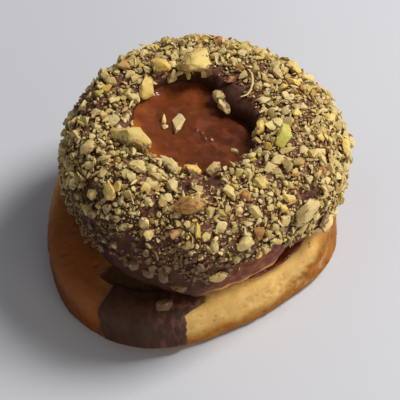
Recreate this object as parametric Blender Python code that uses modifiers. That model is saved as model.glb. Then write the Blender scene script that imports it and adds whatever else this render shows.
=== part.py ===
"""Sable cookie: a round shortbread base, a thin layer of jam that also fills the middle, and a
thick ring dipped in chocolate and rolled in chopped pistachios, set down a little off centre.
A run of chocolate has set on the edge and side of the base. The origin is the middle of the
flat underside, and the chocolate run is towards -Y."""

import math
import random

import bmesh
import bpy
from mathutils import Euler, Matrix, Vector, noise

MM = 0.001

# Base biscuit
BASE_RADIUS = 27.8 * MM
BASE_THICKNESS = 10.9 * MM
BASE_TOP_ROUND = 2.8 * MM
BASE_FOOT_ROUND = 1.6 * MM
BASE_RELIEF = 0.13 * MM
BASE_LUMP_SIZE = 3.0 * MM

# Jam, as a layer between the biscuits and a plug in the ring's hole
GAP = 0.3 * MM
JAM_LAYER_THICKNESS = 0.9 * MM
JAM_LAYER_RADIUS = 22.3 * MM
JAM_LAYER_CENTRE = (3.4 * MM, 1.8 * MM)
JAM_BELOW_CREST = 2.5 * MM
JAM_SLOPE = math.radians(5.5)
JAM_SLOPES_TOWARDS = math.radians(35)
JAM_CROWN = 0.3 * MM
JAM_MENISCUS = 1.4 * MM

# Coated ring
RING_RADIUS = 26.0 * MM
RING_HEIGHT = 16.9 * MM
RING_CENTRE = (4.2 * MM, 2.8 * MM)
RING_LEAN = math.radians(2.1)
RING_LEANS_TOWARDS = math.radians(-48)
RING_WAIST_SHARE = 0.32
RING_FOOT_ROUND = 2.2 * MM
RING_SHOULDER = 8.3 * MM
RING_RELIEF = 0.35 * MM
RING_LUMP_SIZE = 4.0 * MM
HOLE_RADIUS = 11.6 * MM
HOLE_CENTRE = (3.4 * MM, 4.1 * MM)
HOLE_RIM_ROUND = 2.4 * MM

# Chopped pistachios fused to the ring
STREWN_NUTS = 156
NUT_LARGEST = 3.4 * MM
NUT_SMALLEST = 1.9 * MM
NUT_SIZE_POWER = 0.6
SPOT_SEED = 41
SHAPE_SEED = 3
NUT_SPACING = 0.62
NUT_FLATNESS = (1.0, 0.8, 0.62)
NUT_CORNERS = (0.8, 1.12)
NUT_TILT = 0.5
NUT_CLEAR_OF_FOOT = 2.2 * MM
NUT_CLEAR_OF_HOLE = 0.9 * MM
BARE_SIDE = math.radians(-118)
BARE_SIDE_WIDTH = math.radians(46)
# Bare strips above the foot and beside the hole: (direction, half width, how much wider there)
BARE_LIP = ((math.radians(-70), math.radians(22), 5.0 * MM),)
BARE_RIM = ((math.radians(33), math.radians(36), 1.8 * MM),)

# Nut pieces that stand out: direction in degrees, share of the way from the hole to the foot, size
STANDOUT_NUTS = (
    (85, 0.11, 5.6 * MM),
    (-162, 0.1, 5.0 * MM),
    (-97, 0.305, 5.2 * MM),
    (-43, 0.62, 5.0 * MM),
    (-114, 0.05, 4.4 * MM),
    (114, 0.13, 4.2 * MM),
    (-34, 0.85, 4.2 * MM),
    (36, 0.47, 4.0 * MM),
    (-94, 0.05, 3.9 * MM),
    (-76, 0.05, 3.8 * MM),
    (-22, 0.22, 3.8 * MM),
    (133, 0.05, 3.7 * MM),
    (-169, 0.356, 3.6 * MM),
    (-6, 0.627, 3.6 * MM),
    (-75, 0.576, 3.5 * MM),
    (-139, 0.407, 3.1 * MM),
    (130, 0.3, 3.0 * MM),
    (34, 0.339, 3.0 * MM),
    (-135, 0.186, 3.0 * MM),
    (-16, 0.085, 3.0 * MM),
    (-107, 0.186, 3.0 * MM),
    (-73, 0.271, 3.0 * MM),
    (-66, 0.424, 3.0 * MM),
    (28, 0.5, 2.8 * MM),
    (-56, 0.305, 2.8 * MM),
    (-87, 0.746, 2.7 * MM),
    (24, 0.373, 2.6 * MM),
    (-32, 0.356, 2.6 * MM),
    (-38, 0.271, 2.6 * MM),
    (-87, 0.525, 2.6 * MM),
    (53, 0.034, 2.6 * MM),
    (35, 0.034, 2.6 * MM),
    (-117, 0.441, 2.5 * MM),
    (13, 0.169, 2.4 * MM),
    (148, 0.085, 2.4 * MM),
    (-93, 0.424, 2.3 * MM),
    (51, 0.135, 2.2 * MM),
    (-52, 0.508, 2.2 * MM),
    (-27, 0.508, 2.2 * MM),
)

# Bits of nut lying on the jam: distance from the middle, direction and size
JAM_BITS = (
    (2.7 * MM, math.radians(142), 3.6 * MM),
    (5.5 * MM, math.radians(156), 1.7 * MM),
    (9.3 * MM, math.radians(-44), 1.5 * MM),
)
JAM_BIT_SEED = 7

# Chocolate run, from under the ring over the base's edge and down its side
RUN_START = math.radians(-126.5)
RUN_END = math.radians(-92.5)
RUN_THICKNESS = 0.8 * MM
RUN_ON_LEDGE = 5.0 * MM
RUN_FOOT_CLEARANCE = 1.5 * MM
RUN_RAGGEDNESS = math.radians(2.0)
RUN_RAG_SIZE = 1.8 * MM
RUN_EDGE_ROUND = 0.28 * MM

# Uneven outlines: (waves round the edge, depth as a share of the radius, direction of a crest)
BASE_WAVES = ((2, 0.003, math.radians(57)), (3, 0.004, math.radians(-8)))
RING_WAVES = (
    (2, 0.013, math.radians(62)),
    (3, 0.028, math.radians(13)),
    (4, 0.015, math.radians(-10)),
)
HOLE_WAVES = ((2, 0.035, math.radians(128)), (3, 0.012, math.radians(95)))
# The ring's crest is higher at some places: (waves, depth as a share of the height, direction)
CREST_WAVES = ((2, 0.012, math.radians(20)), (3, 0.014, math.radians(-20)))
# Local swells and flattened sides of an outline: (direction, half width, height)
BASE_SWELLS = (
    (math.radians(-68), math.radians(33), -3.5 * MM),
    (math.radians(-42), math.radians(13), -0.8 * MM),
    (math.radians(-13), math.radians(13), 0.5 * MM),
    (math.radians(172), math.radians(30), -2.2 * MM),
)
RING_SWELLS = (
    (math.radians(-94), math.radians(9), 1.0 * MM),
    (math.radians(-36), math.radians(8), 0.6 * MM),
    (math.radians(-24), math.radians(8), 0.9 * MM),
)
SWELL_LEFT_AT_CREST = 0.45
HOLE_SWELLS = (
    (math.radians(33), math.radians(36), -4.2 * MM),
    (math.radians(-150), math.radians(26), -0.9 * MM),
)
JAM_SWELLS = (
    (math.radians(-57), math.radians(24), 1.6 * MM),
    (math.radians(150), math.radians(16), 0.8 * MM),
    (math.radians(55), math.radians(20), 0.7 * MM),
)

STEPS_ROUND = 64
JAM_STEPS_ROUND = 40
RUN_STEPS = 10
RUN_STEPS_DOWN = 5
MERGE_DISTANCE = 0.00001

JAM_BOTTOM = BASE_THICKNESS + GAP
RING_FLOOR = JAM_BOTTOM + JAM_LAYER_THICKNESS + GAP
RING_CREST = RING_FLOOR + RING_HEIGHT
WAIST_HEIGHT = RING_WAIST_SHARE * RING_HEIGHT
JAM_LEVEL = RING_CREST - JAM_BELOW_CREST


def clear_scene():
    for obj in list(bpy.data.objects):
        bpy.data.objects.remove(obj, do_unlink=True)


def new_collection(name):
    collection = bpy.data.collections.new(name)
    bpy.context.scene.collection.children.link(collection)
    return collection


def material(name, color, roughness):
    made = bpy.data.materials.new(name)
    made.use_nodes = True
    shader = made.node_tree.nodes["Principled BSDF"]
    shader.inputs["Base Color"].default_value = (*color, 1.0)
    shader.inputs["Roughness"].default_value = roughness
    shader.inputs["Metallic"].default_value = 0.0
    return made


def add_object(name, mesh, collection, finish):
    obj = bpy.data.objects.new(name, mesh)
    collection.objects.link(obj)
    mesh.materials.clear()
    mesh.materials.append(finish)
    return obj


def arc(middle, radii, start, end, steps):
    """Points of an elliptic arc in the profile plane, from one angle to another in degrees."""
    points = []
    for step in range(steps + 1):
        angle = math.radians(start + (end - start) * step / steps)
        points.append((middle[0] + radii[0] * math.cos(angle), middle[1] + radii[1] * math.sin(angle)))
    return points


def wavy(angle, waves):
    return sum(depth * math.cos(count * (angle - crest)) for count, depth, crest in waves)


def swelling(angle, swells):
    total = 0.0
    for direction, half_width, height in swells:
        away = math.remainder(angle - direction, math.tau)
        total += height * math.exp(-((away / half_width) ** 2))
    return total


def around(angle, radius, height):
    """The point at an angle and radius about Z."""
    return Vector((radius * math.cos(angle), radius * math.sin(angle), height))


def baked_mesh(obj):
    """The object's mesh with its modifiers applied and its place in the mesh."""
    bpy.context.view_layer.update()
    graph = bpy.context.evaluated_depsgraph_get()
    mesh = bpy.data.meshes.new_from_object(obj.evaluated_get(graph))
    mesh.transform(obj.matrix_world)
    bpy.data.objects.remove(obj, do_unlink=True)
    return mesh


def turned(profile, steps, closed=False, start=0.0, sweep=math.tau):
    """A mesh turned about Z from (radius, height) points that run down the outer side."""
    mesh = bpy.data.meshes.new("profile")
    points = [(radius, 0.0, height) for radius, height in profile]
    edges = [(index, index + 1) for index in range(len(points) - 1)]
    if closed:
        edges.append((len(points) - 1, 0))
    mesh.from_pydata(points, edges, [])
    obj = bpy.data.objects.new("profile", mesh)
    bpy.context.scene.collection.objects.link(obj)
    obj.rotation_euler.z = start
    screw = obj.modifiers.new("turn", "SCREW")
    screw.angle = sweep
    screw.steps = screw.render_steps = steps
    screw.use_merge_vertices = True
    screw.merge_threshold = MERGE_DISTANCE
    return baked_mesh(obj)


def reshape(mesh, rule):
    for point in mesh.vertices:
        point.co = rule(point.co.copy())


def roughen(mesh, amount, lump_size, flat_below):
    """Low lumps along the normals. Points no higher than flat_below stay, so a foot stays flat."""
    shaped = bmesh.new()
    shaped.from_mesh(mesh)
    shaped.normal_update()
    moves = [
        (point, point.normal * amount * noise.noise(point.co / lump_size))
        for point in shaped.verts
        if point.co.z > flat_below
    ]
    for point, move in moves:
        point.co += move
    shaped.to_mesh(mesh)
    shaped.free()


def fuse(obj, others, solver):
    """Joins everything in a collection to the object by one Boolean union, and removes it."""
    union = obj.modifiers.new("fuse", "BOOLEAN")
    union.operation = "UNION"
    union.operand_type = "COLLECTION"
    union.collection = others
    union.solver = solver
    finish = obj.data.materials[0]
    name = obj.name
    home = obj.users_collection[0]
    mesh = baked_mesh(obj)
    for piece in list(others.objects):
        bpy.data.objects.remove(piece, do_unlink=True)
    bpy.data.collections.remove(others)
    add_object(name, mesh, home, finish)


def base_outline(point):
    """Moves a point out from the base's axis or in, because the base is flattened on one side."""
    angle = math.atan2(point.y, point.x)
    stretch = 1.0 + wavy(angle, BASE_WAVES) + swelling(angle, BASE_SWELLS) / BASE_RADIUS
    return Vector((point.x * stretch, point.y * stretch, point.z))


def build_base(collection):
    top_edge = arc(
        (BASE_RADIUS - BASE_TOP_ROUND, BASE_THICKNESS - BASE_TOP_ROUND),
        (BASE_TOP_ROUND, BASE_TOP_ROUND), 90, 0, 5,
    )
    foot = arc(
        (BASE_RADIUS - BASE_FOOT_ROUND, BASE_FOOT_ROUND),
        (BASE_FOOT_ROUND, BASE_FOOT_ROUND), 0, -90, 3,
    )
    mesh = turned([(0.0, BASE_THICKNESS)] + top_edge + foot + [(0.0, 0.0)], STEPS_ROUND)
    reshape(mesh, base_outline)
    roughen(mesh, BASE_RELIEF, BASE_LUMP_SIZE, flat_below=BASE_FOOT_ROUND / 2)
    mesh.shade_smooth()
    shortbread = material("golden_shortbread", (0.56, 0.33, 0.13), 0.7)
    add_object("base_biscuit", mesh, collection, shortbread)


def lean_shift(height):
    """How far the ring's lean has moved it sideways at a height."""
    return around(RING_LEANS_TOWARDS, math.tan(RING_LEAN) * (height - RING_FLOOR), 0.0)


def leaned(point):
    """Leans a point of the ring: its crest tips, and its underside stays flat."""
    away = point - Vector((*RING_CENTRE, point.z))
    height_share = max((point.z - RING_FLOOR) / RING_HEIGHT, 0.0)
    drop = math.tan(RING_LEAN) * away.dot(around(RING_LEANS_TOWARDS, 1.0, 0.0)) * height_share
    return point + lean_shift(point.z) - Vector((0.0, 0.0, drop))


def hole_swell(angle):
    """How much further out than an even hole's the real hole's side lies."""
    return HOLE_RADIUS * wavy(angle, HOLE_WAVES) + swelling(angle, HOLE_SWELLS)


def ring_outline(point):
    """Moves a point of the evenly turned ring, whose axis is still Z, to its place in the real one."""
    radius = math.hypot(point.x, point.y)
    angle = math.atan2(point.y, point.x)
    out_share = min(max((radius - HOLE_RADIUS) / (RING_RADIUS - HOLE_RADIUS), 0.0), 1.0)
    height_share = max((point.z - RING_FLOOR) / RING_HEIGHT, 0.0)
    swell_left = 1.0 + (SWELL_LEFT_AT_CREST - 1.0) * height_share
    outer = RING_RADIUS * wavy(angle, RING_WAVES) + swelling(angle, RING_SWELLS) * swell_left
    inner = hole_swell(angle)
    moved = around(angle, radius + inner + (outer - inner) * out_share, point.z)
    moved.z += RING_HEIGHT * wavy(angle, CREST_WAVES) * height_share**2
    moved.x += HOLE_CENTRE[0] + (RING_CENTRE[0] - HOLE_CENTRE[0]) * out_share
    moved.y += HOLE_CENTRE[1] + (RING_CENTRE[1] - HOLE_CENTRE[1]) * out_share
    return leaned(moved)


def ring_profile():
    """The ring's profile from the top of its hole over the crest and shoulder to its foot."""
    rim = arc(
        (HOLE_RADIUS + HOLE_RIM_ROUND, RING_CREST - HOLE_RIM_ROUND),
        (HOLE_RIM_ROUND, HOLE_RIM_ROUND), 180, 90, 3,
    )
    shoulder = arc(
        (RING_RADIUS - RING_SHOULDER, RING_FLOOR + WAIST_HEIGHT),
        (RING_SHOULDER, RING_HEIGHT - WAIST_HEIGHT), 90, 0, 6,
    )
    foot = arc(
        (RING_RADIUS - RING_FOOT_ROUND, RING_FLOOR + WAIST_HEIGHT),
        (RING_FOOT_ROUND, WAIST_HEIGHT), 0, -90, 4,
    )
    return rim + shoulder + foot[1:]


def nut_piece(draw, size):
    """One chopped piece: a small blunt lump with twenty flat sides."""
    mesh = bpy.data.meshes.new("nut_piece")
    shaped = bmesh.new()
    bmesh.ops.create_icosphere(shaped, subdivisions=1, radius=size / 2)
    for point in shaped.verts:
        point.co *= draw.uniform(*NUT_CORNERS)
        point.co = Vector(side * share for side, share in zip(point.co, NUT_FLATNESS))
    shaped.to_mesh(mesh)
    shaped.free()
    return mesh


def bareness(angle, height):
    """From 0, thickly covered, to 1, bare chocolate, as on the ring's lower front left."""
    away = math.remainder(angle - BARE_SIDE, math.tau) / BARE_SIDE_WIDTH
    lowness = 1.0 - (height - RING_FLOOR) / RING_HEIGHT
    return math.exp(-away * away) * max(lowness, 0.0)


def point_on(profile, share):
    """The place and outward direction at a share of the way along a profile."""
    spans = list(zip(profile, profile[1:]))
    left = share * sum(math.dist(start, end) for start, end in spans)
    for start, end in spans:
        length = math.dist(start, end)
        if left <= length:
            break
        left -= length
    along = (Vector(end) - Vector(start)) / length
    return Vector(start) + along * left, Vector((-along.y, along.x))


def nut_spots(draw):
    """Yields place, outward direction and size on the turned ring, the largest pieces first."""
    profile = ring_profile()
    taken = []
    for direction, share, size in STANDOUT_NUTS:
        (radius, height), out = point_on(profile, share)
        angle = math.radians(direction)
        taken.append((around(angle, radius, height), size))
        yield taken[-1][0], around(angle, out.x, out.y), size
    for number in range(STREWN_NUTS):
        shrink = (NUT_LARGEST - NUT_SMALLEST) * (number / STREWN_NUTS) ** NUT_SIZE_POWER
        size = NUT_LARGEST - shrink
        free = False
        while not free:
            (radius, height), out = point_on(profile, draw.random())
            angle = draw.uniform(-math.pi, math.pi)
            low = height < RING_FLOOR + NUT_CLEAR_OF_FOOT + swelling(angle, BARE_LIP)
            in_hole = radius < HOLE_RADIUS + NUT_CLEAR_OF_HOLE + swelling(angle, BARE_RIM)
            crowded_in = draw.random() > radius / RING_RADIUS
            left_bare = draw.random() < bareness(angle, height)
            if low or in_hole or crowded_in or left_bare:
                continue
            spot = around(angle, radius, height)
            free = all(
                (spot - other).length > NUT_SPACING * (size + width / 2) for other, width in taken
            )
        taken.append((spot, size))
        yield spot, around(angle, out.x, out.y), size


def scatter_nuts(collection):
    draw = random.Random(SHAPE_SEED)
    for number, (spot, outward, size) in enumerate(nut_spots(random.Random(SPOT_SEED))):
        piece = add_object(f"nut_{number}", nut_piece(draw, size), collection, NUT_FINISH)
        tilt_x, tilt_y = (draw.uniform(-NUT_TILT, NUT_TILT) for _ in "xy")
        turn = Euler((tilt_x, tilt_y, draw.uniform(0.0, math.tau))).to_matrix()
        lying = outward.to_track_quat("Z", "Y").to_matrix() @ turn
        piece.matrix_world = Matrix.Translation(ring_outline(spot)) @ lying.to_4x4()


def build_ring(collection):
    profile = ring_profile() + [(HOLE_RADIUS, RING_FLOOR)]
    mesh = turned(profile, STEPS_ROUND, closed=True)
    reshape(mesh, ring_outline)
    roughen(mesh, RING_RELIEF, RING_LUMP_SIZE, flat_below=RING_FLOOR + GAP)
    coat = material("nut_coat", (0.42, 0.36, 0.17), 0.65)
    ring = add_object("pistachio_ring", mesh, collection, coat)
    nuts = new_collection("nut_pieces")
    scatter_nuts(nuts)
    fuse(ring, nuts, "MANIFOLD")


def jam_layer_outline(point):
    """Moves the layer's edge in and out, where jam is squeezed out from under the ring."""
    radius = math.hypot(point.x, point.y)
    angle = math.atan2(point.y, point.x)
    moved = around(angle, radius + swelling(angle, JAM_SWELLS) * radius / JAM_LAYER_RADIUS, point.z)
    return moved + Vector((*JAM_LAYER_CENTRE, 0.0))


def jam_plug_outline(point):
    """Moves a point of the turned plug so that it follows the uneven hole, a gap clear of it."""
    stretch = 1.0 + hole_swell(math.atan2(point.y, point.x)) / HOLE_RADIUS
    followed = Vector((point.x * stretch, point.y * stretch, point.z))
    height_share = (point.z - JAM_BOTTOM) / (JAM_LEVEL - JAM_BOTTOM)
    down_slope = followed.dot(around(JAM_SLOPES_TOWARDS, 1.0, 0.0))
    followed.z -= math.tan(JAM_SLOPE) * down_slope * height_share
    return followed + Vector((*HOLE_CENTRE, 0.0)) + lean_shift(point.z)


def build_jam(collection):
    half_layer = JAM_LAYER_THICKNESS / 2
    edge = arc(
        (JAM_LAYER_RADIUS - half_layer, JAM_BOTTOM + half_layer), (half_layer, half_layer), 90, -90, 4
    )
    top, bottom = edge[0][1], edge[-1][1]
    layer_mesh = turned([(0.0, top)] + edge + [(0.0, bottom)], JAM_STEPS_ROUND)
    reshape(layer_mesh, jam_layer_outline)
    jam = add_object("jam_filling", layer_mesh, collection, JAM_FINISH)

    additions = new_collection("jam_additions")
    plug_radius = HOLE_RADIUS - GAP
    crown = arc((0.0, JAM_LEVEL), (plug_radius - JAM_MENISCUS, JAM_CROWN), 90, 15, 3)
    rim = arc(
        (plug_radius - JAM_MENISCUS, JAM_LEVEL - JAM_MENISCUS), (JAM_MENISCUS, JAM_MENISCUS), 80, 0, 3
    )
    inside_layer = JAM_BOTTOM + half_layer
    core = [(plug_radius, inside_layer), (0.0, inside_layer)]
    plug_mesh = turned(crown + rim + core, JAM_STEPS_ROUND)
    reshape(plug_mesh, jam_plug_outline)
    add_object("jam_plug", plug_mesh, additions, JAM_FINISH)

    draw = random.Random(JAM_BIT_SEED)
    for number, (distance, direction, size) in enumerate(JAM_BITS):
        bit = add_object(f"jam_bit_{number}", nut_piece(draw, size), additions, NUT_FINISH)
        bit.location = jam_plug_outline(around(direction, distance, JAM_LEVEL + JAM_CROWN))
        bit.rotation_euler.z = draw.uniform(0.0, math.tau)
    fuse(jam, additions, "EXACT")


def run_outline(point):
    """Lays a point of the run on the uneven base, and pulls its right edge in and out."""
    angle = math.atan2(point.y, point.x)
    radius = math.hypot(point.x, point.y)
    share = (angle - RUN_START) / (RUN_END - RUN_START)
    down_the_run = (radius - point.z) / RUN_RAG_SIZE
    angle += RUN_RAGGEDNESS * share * noise.noise(Vector((down_the_run, 0.5, 0.0)))
    return base_outline(around(angle, radius, point.z))


def build_chocolate_run(collection):
    """A thin skin, straight on its left and ragged on its right."""
    ledge = [(BASE_RADIUS - RUN_ON_LEDGE, BASE_THICKNESS + GAP)]
    over_the_edge = arc(
        (BASE_RADIUS - BASE_TOP_ROUND, BASE_THICKNESS - BASE_TOP_ROUND),
        (BASE_TOP_ROUND + GAP, BASE_TOP_ROUND + GAP), 90, 0, 5,
    )
    side_top = BASE_THICKNESS - BASE_TOP_ROUND
    side = [
        (BASE_RADIUS + GAP, side_top + (RUN_FOOT_CLEARANCE - side_top) * step / RUN_STEPS_DOWN)
        for step in range(1, RUN_STEPS_DOWN + 1)
    ]
    mesh = turned(ledge + over_the_edge + side, RUN_STEPS, start=RUN_START, sweep=RUN_END - RUN_START)
    reshape(mesh, run_outline)
    chocolate = material("dark_chocolate", (0.06, 0.028, 0.018), 0.35)
    run = add_object("chocolate_run", mesh, collection, chocolate)
    shell = run.modifiers.new("thickness", "SOLIDIFY")
    shell.thickness = RUN_THICKNESS
    shell.offset = 1.0
    rounding = run.modifiers.new("rounding", "BEVEL")
    rounding.width = RUN_EDGE_ROUND
    rounding.segments = 2
    rounding.limit_method = "ANGLE"


clear_scene()
NUT_FINISH = material("chopped_pistachio", (0.55, 0.5, 0.22), 0.6)
JAM_FINISH = material("jam", (0.3, 0.06, 0.02), 0.15)
cookie = new_collection("sable_cookie")
build_base(cookie)
build_jam(cookie)
build_ring(cookie)
build_chocolate_run(cookie)
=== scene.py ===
"""Sable cookie: a shortbread base, jam, and a ring dipped in dark chocolate and rolled in chopped
pistachios. Lengths are in millimetres until a mesh or a material is made. The driving sizes are
those of the solids, so that each finer surface lies where its solid does."""

import math
import random

import bmesh
import bpy
import numpy as np
from mathutils import Euler, Matrix, Vector, noise


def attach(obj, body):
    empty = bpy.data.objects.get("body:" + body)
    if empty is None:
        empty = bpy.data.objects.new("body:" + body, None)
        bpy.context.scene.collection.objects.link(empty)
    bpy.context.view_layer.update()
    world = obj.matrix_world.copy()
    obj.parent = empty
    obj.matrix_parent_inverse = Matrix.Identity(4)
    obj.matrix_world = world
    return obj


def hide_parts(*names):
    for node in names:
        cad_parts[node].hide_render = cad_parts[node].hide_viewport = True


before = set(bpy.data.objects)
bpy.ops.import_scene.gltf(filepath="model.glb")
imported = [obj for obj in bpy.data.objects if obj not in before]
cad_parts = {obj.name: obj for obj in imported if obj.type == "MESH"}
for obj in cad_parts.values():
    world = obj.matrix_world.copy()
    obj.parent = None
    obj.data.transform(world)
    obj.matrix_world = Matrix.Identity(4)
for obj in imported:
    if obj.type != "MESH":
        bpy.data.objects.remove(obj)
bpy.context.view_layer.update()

MM = 0.001

# Angles in rows are in degrees. Waves are rows of count, depth and direction of a crest. Swells are
# rows of direction, half width and height. Relief is rows of height, size of its lumps and seed.

# Base biscuit
BASE_RADIUS = 27.8
BASE_THICKNESS = 10.9
BASE_TOP_ROUND = 2.8
BASE_FOOT_ROUND = 1.6
BASE_WAVES = ((2, 0.003, 57), (3, 0.004, -8))
BASE_SWELLS = ((-68, 33, -3.5), (-42, 13, -0.8), (-13, 13, 0.5), (172, 30, -2.2))
BASE_HIDDEN_WITHIN = 16.0
BASE_RELIEF = ((0.13, 3.0, 0.0), (0.08, 1.1, 4.0), (0.05, 0.5, 9.0))

# Pits in the crumb: how many, their widths and their depths. From the height PITS_TURN_IN the pits
# on the side may lie up to PITS_INWARD further in, on the top.
SIDE_PITS = 420, (0.2, 0.55), (0.1, 0.32)
UNDER_PITS = 260, (0.5, 1.1), (0.1, 0.35)
PITS_TURN_IN = 8.2
PITS_INWARD = 7.0
UNDER_PITS_WITHIN = 23.0

# Jam
GAP = 0.3
JAM_LAYER_THICKNESS = 0.9
JAM_LAYER_RADIUS = 22.3
JAM_LAYER_CENTRE = (3.4, 1.8)
JAM_BELOW_CREST = 2.5
JAM_SLOPE = math.radians(5.5)
JAM_SLOPES_TOWARDS = math.radians(35)
JAM_CROWN = 0.3
JAM_RIM_OUT = 0.3
JAM_RIM_ROUND = 0.7
JAM_TOP_DEPTH = 1.6
# How far below its level the jam's overhang ends, and the plug's straight wall begins
JAM_OVERHANG_DOWN, JAM_WALL_DOWN = 3.0, 4.0
PLUG_TO_LAYER = 4.0
JAM_EDGE_FROM = 20.0
JAM_SWELLS = ((-57, 24, 1.6), (150, 16, 0.8), (55, 20, 0.7))
JAM_RIPPLES = ((0.5, 5.0, 2.0), (0.28, 2.2, 6.0))
JAM_SQUEEZED = ((0.5, 3.0, 5.0), (0.2, 1.2, 7.0))

# Ring
RING_RADIUS = 26.0
RING_HEIGHT = 16.9
RING_CENTRE = (4.2, 2.8)
RING_LEAN = math.radians(2.1)
RING_LEANS_TOWARDS = math.radians(-48)
RING_WAIST_SHARE = 0.32
RING_FOOT_ROUND = 2.2
RING_SHOULDER = 8.3
RING_RELIEF = 0.35
RING_LUMP_SIZE = 4.0
RING_WAVES = ((2, 0.013, 62), (3, 0.028, 13), (4, 0.015, -10))
RING_SWELLS = ((-94, 9, 1.0), (-36, 8, 0.6), (-24, 8, 0.9))
SWELL_LEFT_AT_CREST = 0.45
CREST_WAVES = ((2, 0.012, 20), (3, 0.014, -20))
HOLE_RADIUS = 11.6
HOLE_CENTRE = (3.4, 4.1)
HOLE_RIM_ROUND = 2.4
HOLE_WAVES = ((2, 0.035, 128), (3, 0.012, 95))
HOLE_SWELLS = ((33, 36, -4.2), (-150, 26, -0.9))

JAM_BOTTOM = BASE_THICKNESS + GAP
JAM_LAYER_TOP = JAM_BOTTOM + JAM_LAYER_THICKNESS
RING_FLOOR = JAM_LAYER_TOP + GAP
RING_CREST = RING_FLOOR + RING_HEIGHT
WAIST_HEIGHT = RING_WAIST_SHARE * RING_HEIGHT
JAM_LEVEL = RING_CREST - JAM_BELOW_CREST
PLUG_RADIUS = HOLE_RADIUS - GAP

# Where the ring is bare of nuts: one side, low down; a lip at the foot; and beside the hole
BARE_SIDE = math.radians(-118)
BARE_SIDE_WIDTH = math.radians(46)
LIP_HEIGHT = 5.0
BARE_LIP = ((-70, 22, LIP_HEIGHT),)
BARE_RIM = ((33, 36, 1.8),)
# Bare patches on top: direction in degrees, share of the way from the hole to the foot, width,
# and how bare they are. Those beside the hole at the back right and those at the back left stand in
# for painted
# shade: they show dark chocolate, and the coat there is darkened.
BARE_PATCHES = (
    (62, 0.12, 2.4, 0.62),
    (50, 0.15, 2.3, 0.75),
    (38, 0.13, 2.1, 0.85),
    (78, 0.06, 1.8, 0.6),
    (-80, 0.152, 1.7, 0.95),
    (-100, 0.165, 1.3, 0.9),
    (-36, 0.56, 1.9, 0.8),
    (-53, 0.66, 1.5, 0.7),
    (160, 0.36, 3.6, 0.6),
    (151, 0.47, 3.2, 0.6),
    (-150, 0.5, 2.6, 0.5),
)
# Lumps of thinner cover, how much of the cover they take, and how softly it ends at the lip
THIN_COVER = ((1.9, 3.6, 12.0), (1.6, 2.0, 15.0))
THIN_COVER_LOSS = 0.65
COVER_FADE = 1.2
# A large nut hides the cover under it: how wide, as a share of its size, and how much of it
UNDER_NUT_WIDTH = 0.42
UNDER_NUT_HIDDEN = 0.8
# The coat's relief: height where it is clean, how much more where it is smeared, size of its
# lumps and seed, and how far the whole is sunk
COAT_RELIEF = ((0.16, 0.22, 1.7, 3.0), (0.08, 0.08, 0.75, 8.0))
COAT_SUNK = 0.05

# How far the coat sags towards the base along the lip, from what height above the foot, and from
# what radius
LIP_DROOP = 0.8
LIP_SAG = ((-51, 5, 0.5),)
LIP_DROOP_FROM = 3.0
LIP_DROOP_BEYOND = 21.0
# How far the coat's foot is drawn in, from what height above the foot, and from what radius
FOOT_DRAWN_IN = ((-39.5, 5, 1.3),)
DRAWN_IN_FROM = 5.0
DRAWN_IN_BEYOND = 17.0

# Large nuts, at the solids' places
STREWN_NUTS = 156
NUT_LARGEST = 3.4
NUT_SMALLEST = 1.9
NUT_SIZE_POWER = 0.6
SPOT_SEED = 41
NUT_SPACING = 0.62
NUT_CLEAR_OF_FOOT = 2.2
NUT_CLEAR_OF_HOLE = 0.9

# Tones of nut, as places on the ramp that nut_look makes
SKIN, RUST, KHAKI, PALE_GREEN, CREAM = 0.02, 0.1, 0.33, 0.5, 0.68
YELLOW, ORANGE, GREENISH = 0.8, 0.88, 0.94

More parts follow.
